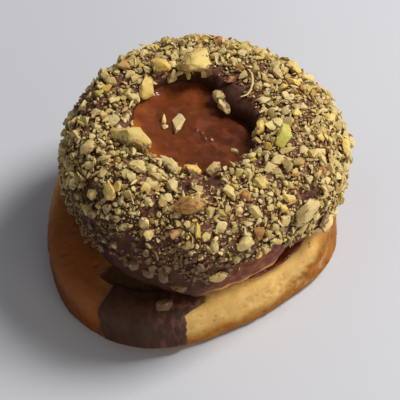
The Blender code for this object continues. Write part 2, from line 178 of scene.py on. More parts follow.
# Nuts that stand out: direction in degrees, share of the way from the hole to the foot, size,
# tone, how much longer than wide, and the heading of the long side in degrees
STANDOUT_NUTS = (
    (85, 0.11, 5.6, YELLOW - 0.03, 1.1, 10),
    (-162, 0.1, 5.0, YELLOW - 0.02, 2.0, -38),
    (-97, 0.305, 5.2, RUST + 0.01, 1.35, 0),
    (-43, 0.62, 5.0, CREAM, 1.1, 60),
    (-114, 0.05, 4.4, CREAM, 1.8, -60),
    (114, 0.13, 4.2, YELLOW + 0.03, 1.25, -70),
    (-34, 0.85, 4.2, CREAM, 2.4, 56),
    (36, 0.47, 4.0, YELLOW + 0.02, 1.3, 110),
    (-94, 0.05, 3.9, YELLOW + 0.05, 1.15, 0),
    (-76, 0.05, 3.8, KHAKI + 0.03, 1.2, 60),
    (-22, 0.22, 3.8, GREENISH + 0.02, 1.4, 80),
    (133, 0.05, 3.7, YELLOW, 1.1, 60),
    (-169, 0.356, 3.6, CREAM + 0.06, 1.1, 60),
    (-6, 0.627, 3.6, YELLOW, 1.35, 80),
    (-75, 0.576, 3.5, PALE_GREEN, 1.1, 20),
    (-139, 0.407, 3.1, YELLOW, 1.3, -70),
    (130, 0.3, 3.0, RUST + 0.05, 1.1, 40),
    (34, 0.339, 3.0, PALE_GREEN, 1.2, -60),
    (-135, 0.186, 3.0, PALE_GREEN, 1.2, -30),
    (-16, 0.085, 3.0, YELLOW + 0.02, 1.5, 80),
    (-107, 0.186, 3.0, CREAM - 0.04, 1.1, 90),
    (-73, 0.271, 3.0, YELLOW - 0.08, 1.2, 130),
    (-66, 0.424, 3.0, PALE_GREEN, 1.7, 130),
    (28, 0.5, 2.8, YELLOW - 0.06, 1.1, 20),
    (-56, 0.305, 2.8, ORANGE - 0.1, 1.2, 160),
    (-87, 0.746, 2.7, KHAKI + 0.05, 1.4, 0),
    (24, 0.373, 2.6, ORANGE - 0.05, 1.1, 20),
    (-32, 0.356, 2.6, RUST + 0.06, 1.1, 0),
    (-38, 0.271, 2.6, PALE_GREEN, 1.1, 30),
    (-87, 0.525, 2.6, PALE_GREEN, 1.6, 95),
    (53, 0.034, 2.6, CREAM, 1.1, 20),
    (35, 0.034, 2.6, CREAM, 1.2, 100),
    (-117, 0.441, 2.5, CREAM, 1.4, 70),
    (13, 0.169, 2.4, CREAM, 1.1, 0),
    (148, 0.085, 2.4, CREAM, 1.1, 0),
    (-93, 0.424, 2.3, GREENISH - 0.03, 1.4, 90),
    (51, 0.135, 2.2, SKIN + 0.03, 1.2, 40),
    (-52, 0.508, 2.2, YELLOW + 0.02, 1.0, 0),
    (-27, 0.508, 2.2, RUST - 0.02, 1.0, 0),
)
# Standouts that look larger than their plain solids: number in the list, how much
SHOWN_LARGER = {0: 1.2, 1: 1.3, 11: 1.15, 23: 1.15, 26: 1.2, 30: 1.3, 31: 1.25}
# How a large nut is set: how far it is lifted as a share of its size, how much larger it is than
# its solid, and how often its faces are divided to make them uneven
STANDOUT_SETTING = 0.19, 1.08, 3
STREWN_SETTING = 0.06, 1.0, 1
LARGE_NUT_CORNERS = 30
LARGE_NUT_CUTS = 7
LARGE_NUT_FULLNESS = 1.06
STANDOUT_SMEAR = 0.1
STREWN_TONES = (0.25, 0.78)
# Unevenness of broken faces: depth as a share of the size, and how many lumps in the size
BROKEN_RELIEF = ((0.14, 3.2), (0.09, 8.0))
# Cover of crumbs on the large nuts: everywhere, in lumps, and at most
CRUMBS_LEAST = 0.05
CRUMB_LUMPS = ((0.9, 2.0, 21.0),)
CRUMBS_MOST = 0.5

# Families of small chopped shapes: how many kinds, corners and cuts, how slim, and the draw
SHAPE_FAMILIES = {
    "chopped": (20, 20, 5, 1.0, "grains"),
    "middling": (14, 16, 4, 1.0, "grains"),
    "fine": (12, 10, 2, 1.0, "grains"),
    "splinters": (14, 12, 3, 0.42, "slivers"),
}
# Layers of small nuts: what they lie on, their shapes, and then the settings that LAYER_SETTINGS
# names. Most is a number in a square metre, Lift is a share of the size, and Tilt is in radians.
LAYER_SETTINGS = ("Spacing", "Smallest", "Largest", "Most", "Lift", "Tilt", "Seed")
NUT_LAYERS = {
    "nuts_chopped": ("ring", "chopped", 1.15 * MM, 1.4 * MM, 3.2 * MM, 1.1e6, 0.16, 0.7, 2),
    "nuts_middling": ("ring", "middling", 0.75 * MM, 0.8 * MM, 1.7 * MM, 2.2e6, 0.2, 0.8, 9),
    "nuts_fine": ("ring", "fine", 0.5 * MM, 0.4 * MM, 0.95 * MM, 4.5e6, 0.3, 0.9, 5),
    "nuts_splintered": ("ring", "splinters", 1.2 * MM, 1.3 * MM, 3.0 * MM, 0.6e6, 0.3, 0.75, 4),
    "crumbs_on_large": ("large nuts", "fine", 0.6 * MM, 0.35 * MM, 1.0 * MM, 3.0e6, 0.1, 0.9, 8),
}

# Bits of nut on the jam: distance from the middle, direction in degrees, size, tone, how much
# longer than wide, and heading in degrees
JAM_BITS = (
    (3.2, 165, 4.9, CREAM, 2.0, 82),
    (5.9, 158, 2.0, ORANGE - 0.06, 1.5, 80),
    (5.3, 176, 1.6, CREAM, 1.3, 20),
    (4.2, 128, 0.9, CREAM, 1.3, 0),
    (3.4, 172, 1.2, YELLOW, 1.2, 30),
    (9.3, -44, 1.9, CREAM, 2.4, -45),
)
# Where the jam creeps up the hole's wall, and where it is brighter on the left and at the front,
# partly as thin jam and partly as painted light
JAM_CREEP = ((112, 44, 1.2),)
LEFT_GLOW = ((-175, 48, 1.0),)
FRONT_GLOW = ((-105, 45, 0.46),)
# Small wrinkles in the jam's skin: distance from the middle and direction in degrees
JAM_WRINKLES = ((1.0, -71), (1.9, -50), (3.0, -60), (4.0, -48), (5.3, -56))
WRINKLE_WIDTH = 0.5
WRINKLE_DEPTH = 0.3

# Chocolate run, with a ragged right edge and a pool at its upper right
RUN_START = math.radians(-126.5)
RUN_END = math.radians(-92.5)
RUN_THICKNESS = 0.8
RUN_ON_LEDGE = 5.0
RUN_FOOT_CLEARANCE = 1.5
RUN_RAG = math.radians(0.7)
RUN_WOBBLE = math.radians(1.2)
RUN_POOL = math.radians(8.5)
RUN_POOL_LENGTH = 4.6
RUN_POOL_EDGE = 0.35
RUN_EDGE_ROUND = 0.8
RUN_EDGE_SUNK = 0.15
RUN_MIDDLE_SHARE = 0.85
RUN_UNEVENNESS = 0.3
RUN_BACK_DEPTH = 0.4
RUN_COLUMNS = 60

# Chocolate smeared on the base's ledge beside the run, and painted shadow under the ring's foot there
STAIN_AND_SHADOW_MIDDLE = math.radians(-109)
STAIN_AND_SHADOW_WIDTH = math.radians(29)
STAIN_AND_SHADOW_RADIUS = 23.2
STAIN_AND_SHADOW_SWELLS = ((-88, 7, 2.4),)
STAIN_AND_SHADOW_ABOVE = 9.4
# A nut stuck on the run: direction, place along the run from under the ring, size, how much longer
# than wide, heading in degrees, lift, tone, and how smeared it is. Its darker tone and its smear are
# painted shade.
STUCK_NUT = (math.radians(-99.5), 3.6, 3.4, 1.3, 10, 0.4, KHAKI - 0.1, 0.36)

# A thin shred of nut that lies curled on the ring beside the hole: direction in degrees and share
# of the way to the foot at each point along it, its width, how far it stands off, and its waves
SHRED_PATH = ((47, 0.245), (40, 0.235), (33, 0.205), (28, 0.17), (24, 0.135), (23, 0.10))
SHRED_WIDTH = 0.42
SHRED_FLATNESS = 0.6
SHRED_LIFT = 0.9
SHRED_WAVE = 0.35
SHRED_WAVES = 7.0
SHRED_STEPS = 40
SHRED_SIDES = 8
SHRED_SMOOTHINGS = 6

# How finely surfaces are made: steps round them, the distance between rings where they show, and
# the radius of the innermost ring about a pole
BASE_STEPS = 560
COAT_STEPS = 420
CARRIER_STEPS = 250
JAM_STEPS = 260
FINE = 0.3
COAT_FINE = 0.32
CARRIER_FINE = 0.65
POLE_RADIUS = 1.0

# Colours are linear red, green and blue. A pair runs from the darker to the lighter.
GOLDEN = (0.66, 0.40, 0.115), (0.79, 0.53, 0.185)
BROWNED = (0.255, 0.090, 0.0095), (0.385, 0.158, 0.024)
UNDERSIDE = (0.28, 0.11, 0.025), (0.48, 0.22, 0.06)
GOLDEN_AT_END = (0.35, 0.15, 0.037)
# Painted shade: the golden and the browned crumb on the base's front left
GOLDEN_PAINTED_SHADE = (0.225, 0.062, 0.014)
BROWNED_PAINTED_SHADE = (0.165, 0.042, 0.010)
PALE_CRUMB = (0.86, 0.66, 0.36)
CRUMB_SPECK = (0.30, 0.09, 0.02)
# Chocolate stain on the ledge, which also serves as painted shadow under the ring's foot
CHOCOLATE_STAIN_AND_SHADOW = (0.045, 0.018, 0.010)
BARE_SHORTBREAD = (0.58, 0.28, 0.09)
COAT_CHOCOLATE = (0.068, 0.022, 0.015), (0.155, 0.058, 0.036)
SHADED_CHOCOLATE = (0.038, 0.012, 0.0065)
LIP_CHOCOLATE = (0.13, 0.032, 0.016), (0.34, 0.11, 0.052)
NUT_DUST = (0.25, 0.15, 0.065), (0.44, 0.33, 0.15)
RUN_CHOCOLATE = (0.032, 0.012, 0.006), (0.060, 0.024, 0.011)
# Painted light on the run's right side
CHOCOLATE_PAINTED_LIGHT = (0.17, 0.062, 0.038)
# The jam from left to right, darker to the right as painted shade under the hole's wall
JAM_PAINTED_SHADE = (
    (0.0, (0.21, 0.058, 0.014)),
    (0.3, (0.14, 0.034, 0.010)),
    (1.0, (0.088, 0.022, 0.009)),
)
# Thin jam, with painted light, on the left and at the front
THIN_AND_LIT_JAM = (0.50, 0.13, 0.015)
DARK_WISPS = (0.05, 0.012, 0.008)
# Paler patches in the jam, a painted sheen
JAM_PAINTED_SHEEN = (0.24, 0.068, 0.026)
NUT_TONES = (
    (0.0, (0.13, 0.042, 0.028)),
    (0.05, (0.28, 0.11, 0.05)),
    (0.1, (0.42, 0.215, 0.05)),
    (0.16, (0.37, 0.26, 0.10)),
    (0.33, (0.465, 0.35, 0.138)),
    (0.5, (0.535, 0.43, 0.183)),
    (0.68, (0.61, 0.49, 0.245)),
    (0.8, (0.62, 0.48, 0.145)),
    (0.88, (0.62, 0.37, 0.08)),
    (0.94, (0.48, 0.43, 0.10)),
    (1.0, (0.40, 0.43, 0.08)),
)
# Chocolate on the nuts, also laid as painted shade on nuts in shaded places
SMEARED_AND_SHADED_NUT = (0.10, 0.042, 0.028)
FLOOR_SHADES = (0.525, 0.56, 0.635), (0.545, 0.58, 0.655)

# The browned lower side of the base: how high it reaches in the middle and how softly it ends, how
# far sideways it starts to climb and how steeply, and a low hump: its place, half width and height
BROWN_HEIGHT = 3.2
BROWN_FADE = 3.8
BROWN_CLIMBS_FROM = 12.0
BROWN_CLIMB = 0.03
BROWN_HUMP = 4.5, 4.5, 1.2

# The view: the lens is longer than the photograph's, so that one cookie fills the frame
CAMERA_PLACE = (19.8, -314.83, 376.83)
CAMERA_AIM = (3.3, -2.59, 14.0)
CAMERA_ROLL = math.radians(7.7)
CAMERA_LENS = 234.0
SENSOR_WIDTH = 36.0

# Lamps: name, place in metres, power in watts, size in metres and colour
LAMPS = (
    ("key", (0.38, 0.10, 0.44), 4.15, 0.2, (1.0, 0.94, 0.87)),
    ("fill", (-0.5, -0.4, 0.5), 0.06, 0.6, (1.0, 0.93, 0.86)),
    ("low", (0.22, -0.46, 0.10), 1.05, 0.3, (1.0, 0.86, 0.66)),
)
STUDIO_COLOR = (1.0, 0.95, 0.93, 1.0)
STUDIO_LIGHT = 0.205
FLOOR_SIZE = 6.0


# ---------------------------------------------------------------- shapes


def lumps(points, size, seed=0.0):
    """Smooth noise at each point, from about -1 to 1, with lumps of about this size."""
    shift = Vector((seed, 2.3 * seed, -1.7 * seed))
    return np.array([noise.noise(Vector(point) / size + shift) for point in points])


def relief(points, rows):
    """Lumps of several sizes, added up at each point."""
    return sum(height * lumps(points, size, seed) for height, size, seed in rows)


def waver(marks, size, seed):
    """Smooth noise at marks along a line, from about -1 to 1, with waves of about this size."""
    return np.array([noise.noise(Vector((mark / size, seed, 0.0))) for mark in marks])


def wavy(angle, waves):
    """The sum of even waves round a circle, in this direction."""
    return sum(depth * np.cos(count * (angle - math.radians(crest))) for count, depth, crest in waves)


def swelling(angle, swells):
    """The height of smooth swells round a circle, in this direction."""
    total = np.zeros_like(angle)
    for direction, half_width, height in swells:
        away = (angle - math.radians(direction) + math.pi) % math.tau - math.pi
        total = total + height * np.exp(-((away / math.radians(half_width)) ** 2))
    return total


def fade(value, start, width):
    """0 up to the start, and an even climb to 1 over the width past it."""
    return np.clip((value - start) / width, 0.0, 1.0)


def around(angle, radius, height):
    """Points at directions and distances from the Z axis."""
    return np.stack([radius * np.cos(angle), radius * np.sin(angle), height + 0.0 * angle], -1)


def polar(points, middle=(0.0, 0.0)):
    """Each point's distance and direction from an upright line through the middle."""
    across, back = points[:, 0] - middle[0], points[:, 1] - middle[1]
    return np.hypot(across, back), np.arctan2(back, across)


def arc(middle, radii, start, end, steps):
    """Points along an ellipse between two directions in degrees."""
    turn = np.radians(np.linspace(start, end, steps + 1))
    return np.stack([middle[0] + radii[0] * np.cos(turn), middle[1] + radii[1] * np.sin(turn)], 1)


def evenly(path, spacing):
    """The path again, with points about this far apart."""
    path = np.asarray(path, float)
    lengths = np.r_[0.0, np.cumsum(np.linalg.norm(np.diff(path, axis=0), axis=1))]
    marks = np.linspace(0.0, lengths[-1], max(2, round(lengths[-1] / spacing) + 1))
    return np.stack([np.interp(marks, lengths, path[:, side]) for side in range(2)], 1)


def point_on(profile, share):
    """The point at a share of a profile's length, and the direction out of the profile there."""
    spans = list(zip(profile, profile[1:]))
    left = share * sum(math.dist(start, end) for start, end in spans)
    for start, end in spans:
        length = math.dist(start, end)
        if left <= length:
            break
        left -= length
    along = ((end[0] - start[0]) / length, (end[1] - start[1]) / length)
    return (start[0] + along[0] * left, start[1] + along[1] * left), (-along[1], along[0])


def turned_grid(profile, steps, place):
    """Points of a profile turned about Z, ring by ring, each put in place by a rule."""
    angle = np.linspace(0.0, math.tau, steps, endpoint=False)
    angle = np.where(angle > math.pi, angle - math.tau, angle)
    radius, turn = np.meshgrid(profile[:, 0], angle, indexing="ij")
    height = np.repeat(profile[:, 1:2], steps, axis=1)
    return place(radius.ravel(), turn.ravel(), height.ravel())


def grid_faces(rings, steps, closed):
    """Faces between neighbouring rings, and back to the first ring where the profile is closed."""
    upper = np.arange(rings if closed else rings - 1)
    lower = (upper + 1) % rings
    side = np.arange(steps)
    following = (side + 1) % steps
    upper, lower = upper[:, None] * steps, lower[:, None] * steps
    corners = [upper + side, lower + side, lower + following, upper + following]
    return np.stack(corners, -1).reshape(-1, 4).tolist()


def built_mesh(name, points, faces):
    mesh = bpy.data.meshes.new(name)
    mesh.from_pydata((points * MM).tolist(), [], faces)
    return mesh


def turned_mesh(name, profile, steps, place, closed=False):
    """A closed mesh. An open profile is closed by a pole at each end."""
    points = turned_grid(profile, steps, place)
    faces = grid_faces(len(profile), steps, closed)
    if not closed:
        first, last = len(points), len(points) + 1
        poles = [points[:steps].mean(0), points[-steps:].mean(0)]
        points = np.concatenate([points, poles])
        bottom = (len(profile) - 1) * steps
        for side in range(steps):
            following = (side + 1) % steps
            faces.append([first, side, following])
            faces.append([last, bottom + following, bottom + side])
    return built_mesh(name, points, faces)


def each_vertex(mesh, what):
    """A vector of each vertex, such as its place, as rows of three numbers."""
    flat = np.empty(len(mesh.vertices) * 3, np.float32)
    mesh.vertices.foreach_get(what, flat)
    return flat.reshape(-1, 3).astype(float)


def places(mesh):
    return each_vertex(mesh, "co") / MM


def move_to(mesh, points):
    mesh.vertices.foreach_set("co", (points * MM).astype(np.float32).ravel())
    mesh.update()


def raise_by(mesh, heights):
    move_to(mesh, places(mesh) + each_vertex(mesh, "normal") * heights[:, None])


def hollows(points, spots, widths, depths):
    """How deep small round hollows at these spots reach at each point."""
    total = np.zeros(len(points))
    for spot, width, depth in zip(spots, widths, depths):
        near = np.flatnonzero(np.abs(points - spot).max(1) < 2.5 * width)
        gone = np.linalg.norm(points[near] - spot, axis=1) / width
        total[near] = np.maximum(total[near], depth * np.exp(-(gone**4)))
    return total


def keep_value(mesh, name, values):
    kept = mesh.attributes.new(name, "FLOAT", "POINT")
    kept.data.foreach_set("value", np.asarray(values, np.float32))


def kept_value(mesh, name):
    values = np.empty(len(mesh.vertices), np.float32)
    mesh.attributes[name].data.foreach_get("value", values)
    return values


def piece(name, mesh, look, replaced=None):
    """A finished piece of the cookie, in its material, riding on the one body."""
    mesh.materials.clear()
    mesh.materials.append(look)
    made = bpy.data.objects.new(name, mesh)
    bpy.context.scene.collection.objects.link(made)
    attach(made, "root")
    if replaced:
        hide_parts(replaced)
    return made


# ---------------------------------------------------------------- materials


class Nodes:
    """A tree of nodes, and short ways to add to it."""

    def __init__(self, tree):
        self.tree = tree

    def add(self, kind, inputs=(), **settings):
        made = self.tree.nodes.new(kind)
        for setting, value in settings.items():
            setattr(made, setting, value)
        for socket, value in dict(inputs).items():
            self.feed(made.inputs[socket], value)
        return made

    def feed(self, socket, value):
        """Links an output, or a node's first output, or else sets a plain value."""
        if isinstance(value, bpy.types.Node):
            value = value.outputs[0]
        if isinstance(value, bpy.types.NodeSocket):
            self.tree.links.new(value, socket)
        else:
            socket.default_value = value

    def worked_out(self, first, operation, second):
        return self.add("ShaderNodeMath", {0: first, 1: second}, operation=operation).outputs[0]

    def plus(self, first, second):
        return self.worked_out(first, "ADD", second)

    def minus(self, first, second):
        return self.worked_out(first, "SUBTRACT", second)

    def times(self, first, second):
        return self.worked_out(first, "MULTIPLY", second)


class Look(Nodes):
    """A material with one Principled surface, and the nodes that feed it."""

    def __init__(self, name, **fixed):
        self.material = bpy.data.materials.new(name)
        self.material.use_nodes = True
        super().__init__(self.material.node_tree)
        self.surface = self.tree.nodes["Principled BSDF"]
        for socket, value in fixed.items():
            title = socket.replace("_", " ").title().replace("Ior", "IOR")
            self.surface.inputs[title].default_value = value
        self.place = self.add("ShaderNodeTexCoord").outputs["Object"]

    def sides(self):
        """The place's three lengths in metres: sideways, backwards and up."""
        return self.add("ShaderNodeSeparateXYZ", {0: self.place}).outputs

    def grain(self, size, detail=3.0, stretch=None):
        """Noise from 0 to 1 with features of about this size."""
        where = self.place
        if stretch:
            where = self.add("ShaderNodeVectorMath", {0: where, 1: stretch}, operation="MULTIPLY")
        settings = {"Vector": where, "Scale": 1.0 / (size * MM), "Detail": detail}
        return self.add("ShaderNodeTexNoise", settings).outputs["Fac"]

    def sway(self, size, depth, detail=3.0):
        """Noise about 0, over this depth."""
        return self.times(self.minus(self.grain(size, detail), 0.5), depth)

    def cells(self, size):
        """Distance from the nearest of scattered spots, in units of their spacing."""
        settings = {"Vector": self.place, "Scale": 1.0 / (size * MM)}
        return self.add("ShaderNodeTexVoronoi", settings).outputs["Distance"]

    def span(self, value, low, high):
        """The value's place between two limits, from 0 to 1, eased at both ends."""
        settings = {0: value, 1: low, 2: high}
        return self.add("ShaderNodeMapRange", settings, interpolation_type="SMOOTHSTEP").outputs[0]

    def patches(self, size, low, high, detail=3.0):
        """Patches of about this size, 0 where the noise is below low, and 1 above high."""
        return self.span(self.grain(size, detail), low, high)

    def stored(self, name):
        return self.add("ShaderNodeAttribute", attribute_name=name).outputs["Fac"]

    def ramp(self, value, *stops):
        made = self.add("ShaderNodeValToRGB", {0: value})
        while len(made.color_ramp.elements) < len(stops):
            made.color_ramp.elements.new(1.0)
        for element, (position, color) in zip(made.color_ramp.elements, stops):
            element.position = position
            element.color = (*color, 1.0)
        return made.outputs["Color"]

    def mottled(self, pair, grain, low=0.3, high=0.7):
        """A pair of colours: the darker where the grain is below low, the lighter above high."""
        return self.ramp(grain, (low, pair[0]), (high, pair[1]))

    def blend(self, share, first, second):
        made = self.add("ShaderNodeMix", data_type="RGBA")
        self.feed(made.inputs["Factor"], share)
        for socket, color in ((made.inputs[6], first), (made.inputs[7], second)):
            self.feed(socket, color if isinstance(color, bpy.types.NodeSocket) else (*color, 1.0))
        return made.outputs[2]

    def over(self, color, tint, where, strength):
        """The colour with a tint over it, this strong at most."""
        return self.blend(self.times(where, strength), color, tint)

    def color(self, value):
        self.feed(self.surface.inputs["Base Color"], value)

    def rough(self, least, more, grain):
        self.feed(self.surface.inputs["Roughness"], self.plus(self.times(grain, more), least))

    def bump(self, value, depth):
        """Relief too fine for the mesh, this many millimetres deep."""
        settings = {"Height": value, "Distance": depth * MM, "Strength": 1.0}
        self.feed(self.surface.inputs["Normal"], self.add("ShaderNodeBump", settings))


def brown_edge(look, sideways):
    """The height that the browned lower side reaches, more at each end."""
    out = look.minus(look.worked_out(sideways, "ABSOLUTE", 0.0), BROWN_CLIMBS_FROM * MM)
    out = look.worked_out(out, "MAXIMUM", 0.0)
    climb = look.times(look.worked_out(out, "POWER", 2.0), BROWN_CLIMB / MM)
    place, half_width, height = BROWN_HUMP
    away = look.worked_out(look.minus(sideways, place * MM), "ABSOLUTE", 0.0)
    hump = look.times(look.span(away, half_width * MM, 0.0), height * MM)
    return look.plus(look.plus(climb, hump), BROWN_HEIGHT * MM)


def shortbread_look():
    """Pale golden above the browned lower side, and darker and redder towards the front left as
    painted shade.
    """
    look = Look(
        "golden_shortbread", subsurface_weight=0.1, subsurface_scale=1.0 * MM,
        subsurface_radius=(1.0, 0.5, 0.2), specular_ior_level=0.13,
    )
    sideways, back, height = look.sides()
    above_edge = look.minus(height, brown_edge(look, sideways))
    above_edge = look.plus(above_edge, look.times(look.grain(6.0), 3.5 * MM))
    golden = look.mottled(GOLDEN, look.grain(2.2, 4.0))
    golden = look.over(golden, GOLDEN_AT_END, look.span(sideways, 22.8 * MM, 25.5 * MM), 0.9)
    browned = look.mottled(BROWNED, look.grain(2.6, 4.0))
    left = look.plus(sideways, look.times(look.grain(9.0), 6.0 * MM))
    front = look.plus(back, look.times(look.grain(9.0), 12.0 * MM))
    # Painted shade: the crumb turns darker and redder towards the front left
    painted_shade = look.times(look.span(left, -1.0 * MM, -14.0 * MM), 0.95)
    painted_shade = look.times(painted_shade, look.span(front, 30.0 * MM, 2.0 * MM))
    golden = look.blend(painted_shade, golden, GOLDEN_PAINTED_SHADE)
    browned = look.blend(painted_shade, browned, BROWNED_PAINTED_SHADE)
    crumb = look.blend(look.span(above_edge, BROWN_FADE * MM, 0.0), golden, browned)
    pale = look.times(look.patches(2.8, 0.56, 0.74, detail=2.0), look.span(left, -8.0 * MM, 4.0 * MM))
    crumb = look.over(crumb, PALE_CRUMB, pale, 0.25)
    specks = look.times(look.span(look.cells(1.7), 0.22, 0.1), look.patches(3.1, 0.5, 0.62))
    crumb = look.over(crumb, CRUMB_SPECK, specks, 0.75)
    # Chocolate stain beside the run, with painted shadow under the ring's foot
    stain_and_shadow = look.span(look.plus(look.stored("stain_and_shadow"), look.times(look.grain(0.9), 0.3)), 0.5, 0.75)
    crumb = look.over(crumb, CHOCOLATE_STAIN_AND_SHADOW, stain_and_shadow, 0.9)
    underside = look.mottled(UNDERSIDE, look.grain(1.4, 5.0), 0.35, 0.65)
    look.color(look.blend(look.span(height, 0.9 * MM, 0.2 * MM), crumb, underside))
    look.rough(0.55, 0.25, look.grain(0.8))
    look.bump(look.grain(0.35, 4.0), 0.12)
    return look.material


def chocolate_look(name, pair, gloss):
    """Set chocolate with streaks down it, and its colour, which the caller finishes."""
    look = Look(name, specular_ior_level=0.2)
    color = look.mottled(pair, look.grain(1.6, 4.0, stretch=(1.0, 1.0, 0.4)), 0.3, 0.72)
    look.rough(gloss, 0.3, look.grain(1.1, 4.0))
    look.bump(look.grain(0.55, 3.0), 0.1)
    return look, color


def coat_look():
    """Chocolate dusted with nut, darkened with painted shade inside the hole and where it is smeared,
    smoother and redder at the lip, where it ends at bare biscuit.
    """
    look, color = chocolate_look("dipped_chocolate", COAT_CHOCOLATE, 0.48)
    _, _, height = look.sides()
    dust = look.times(look.span(look.cells(0.62), 0.56, 0.28), look.patches(1.3, 0.30, 0.52))
    dust = look.times(dust, look.span(look.stored("cover"), 0.0, 0.5))
    color = look.over(color, look.mottled(NUT_DUST, look.grain(0.7), 0.35, 0.65), dust, 0.8)
    # Painted shade inside the hole and where the coat is smeared on the bare low side and in the bare
    # patches
    shaded = look.worked_out(look.stored("inner"), "MAXIMUM", look.times(look.stored("smear_and_shade"), 0.9))
    color = look.over(color, SHADED_CHOCOLATE, shaded, 0.93)
    lip = look.stored("lip")
    color = look.over(color, look.mottled(LIP_CHOCOLATE, look.grain(1.2, 4.0), 0.35, 0.7), lip, 0.85)
    uneven = look.minus(height, look.times(look.grain(2.5), 1.4 * MM))
    foot = look.times(look.span(uneven, 13.6 * MM, 12.4 * MM), look.span(lip, 0.25, 0.6))
    look.color(look.blend(foot, color, BARE_SHORTBREAD))
    return look.material


def run_look():
    """Dark chocolate, with painted light in paler, redder streaks towards the right edge."""
    look, color = chocolate_look("dark_chocolate", RUN_CHOCOLATE, 0.34)
    # Painted light: paler, redder streaks over the run's right side
    streaks = look.span(look.grain(1.1, 4.0, stretch=(1.0, 1.0, 0.3)), 0.42, 0.66)
    look.color(look.over(color, CHOCOLATE_PAINTED_LIGHT, look.times(streaks, look.stored("thin")), 0.8))
    return look.material


def jam_look():
    """Clear dark jam, darker to the right as painted shade, brighter on the left and at the front
    where it is thin and where painted light falls, with wisps and a painted sheen in it.
    """
    look = Look(
        "jam", subsurface_weight=1.0, subsurface_scale=1.8 * MM, subsurface_radius=(1.0, 0.22, 0.06),
        ior=1.42, roughness=0.12, specular_ior_level=0.35,
    )
    sideways, _, _ = look.sides()
    # Painted shade: the jam darkens towards the right
    across = look.plus(sideways, look.sway(5.0, 22.0 * MM))
    flesh = look.ramp(look.span(across, -9.0 * MM, 17.0 * MM), *JAM_PAINTED_SHADE)
    # Thin jam and painted light near the hole's edge on the left and at the front
    glow = look.span(look.plus(look.stored("glow"), look.sway(2.0, 1.0)), 0.35, 1.05)
    flesh = look.over(flesh, THIN_AND_LIT_JAM, glow, 0.7)
    flesh = look.over(flesh, DARK_WISPS, look.patches(1.8, 0.56, 0.70, detail=4.0), 0.35)
    # Painted sheen: paler patches over the jam
    look.color(look.over(flesh, JAM_PAINTED_SHEEN, look.patches(2.6, 0.48, 0.64), 0.45))
    look.bump(look.grain(1.6, 2.0), 0.15)
    return look.material


def nut_look():
    """Chopped pistachio by its tone, with chocolate smeared on its lower side, which reaches higher as
    painted shade where the nut lies in a shaded place.
    """
    look = Look(
        "chopped_pistachio", subsurface_weight=0.35, subsurface_scale=0.9 * MM,
        subsurface_radius=(1.0, 0.8, 0.3), specular_ior_level=0.3,
    )
    flesh = look.ramp(look.plus(look.stored("tone"), look.sway(0.9, 0.45, detail=4.0)), *NUT_TONES)
    # The smear reaches higher up a nut as painted shade
    low = look.minus(look.stored("rise"), look.times(look.stored("smear_and_shade"), 1.4))
    low = look.span(look.plus(low, look.sway(0.6, 1.2)), 0.0, -0.35)
    look.color(look.over(flesh, SMEARED_AND_SHADED_NUT, low, 0.85))
    look.rough(0.45, 0.25, look.grain(0.7))
    look.bump(look.grain(0.3, 3.0), 0.08)
    return look.material


# ---------------------------------------------------------------- base


def base_stretch(angle):
    """How much wider than round the base is in this direction."""
    return 1.0 + wavy(angle, BASE_WAVES) + swelling(angle, BASE_SWELLS) / BASE_RADIUS


def base_place(radius, angle, height):
    return around(angle, radius * base_stretch(angle), height)


def base_top_edge(steps):
    middle = (BASE_RADIUS - BASE_TOP_ROUND, BASE_THICKNESS - BASE_TOP_ROUND)
    return arc(middle, (BASE_TOP_ROUND, BASE_TOP_ROUND), 90, 0, steps)


def base_profile():
    """The base's outline from the middle of its top to the middle of its underside."""
    foot_middle = (BASE_RADIUS - BASE_FOOT_ROUND, BASE_FOOT_ROUND)
    foot = arc(foot_middle, (BASE_FOOT_ROUND, BASE_FOOT_ROUND), 0, -90, 8)
    shown_from = (BASE_HIDDEN_WITHIN, BASE_THICKNESS)
    hidden = evenly([(POLE_RADIUS, BASE_THICKNESS), shown_from], 1.5)
    shown = evenly(np.concatenate([[shown_from], base_top_edge(12), foot]), FINE)
    under = evenly([(BASE_RADIUS - BASE_FOOT_ROUND, 0.0), (POLE_RADIUS, 0.0)], 0.8)
    return np.concatenate([hidden, shown[1:], under[1:]])


def drawn_hollows(draw, points, spots, widths, depths):
    """How deep hollows with a drawn width and depth reach at each point."""
    count = len(spots)
    return hollows(points, spots, draw.uniform(*widths, count), draw.uniform(*depths, count))


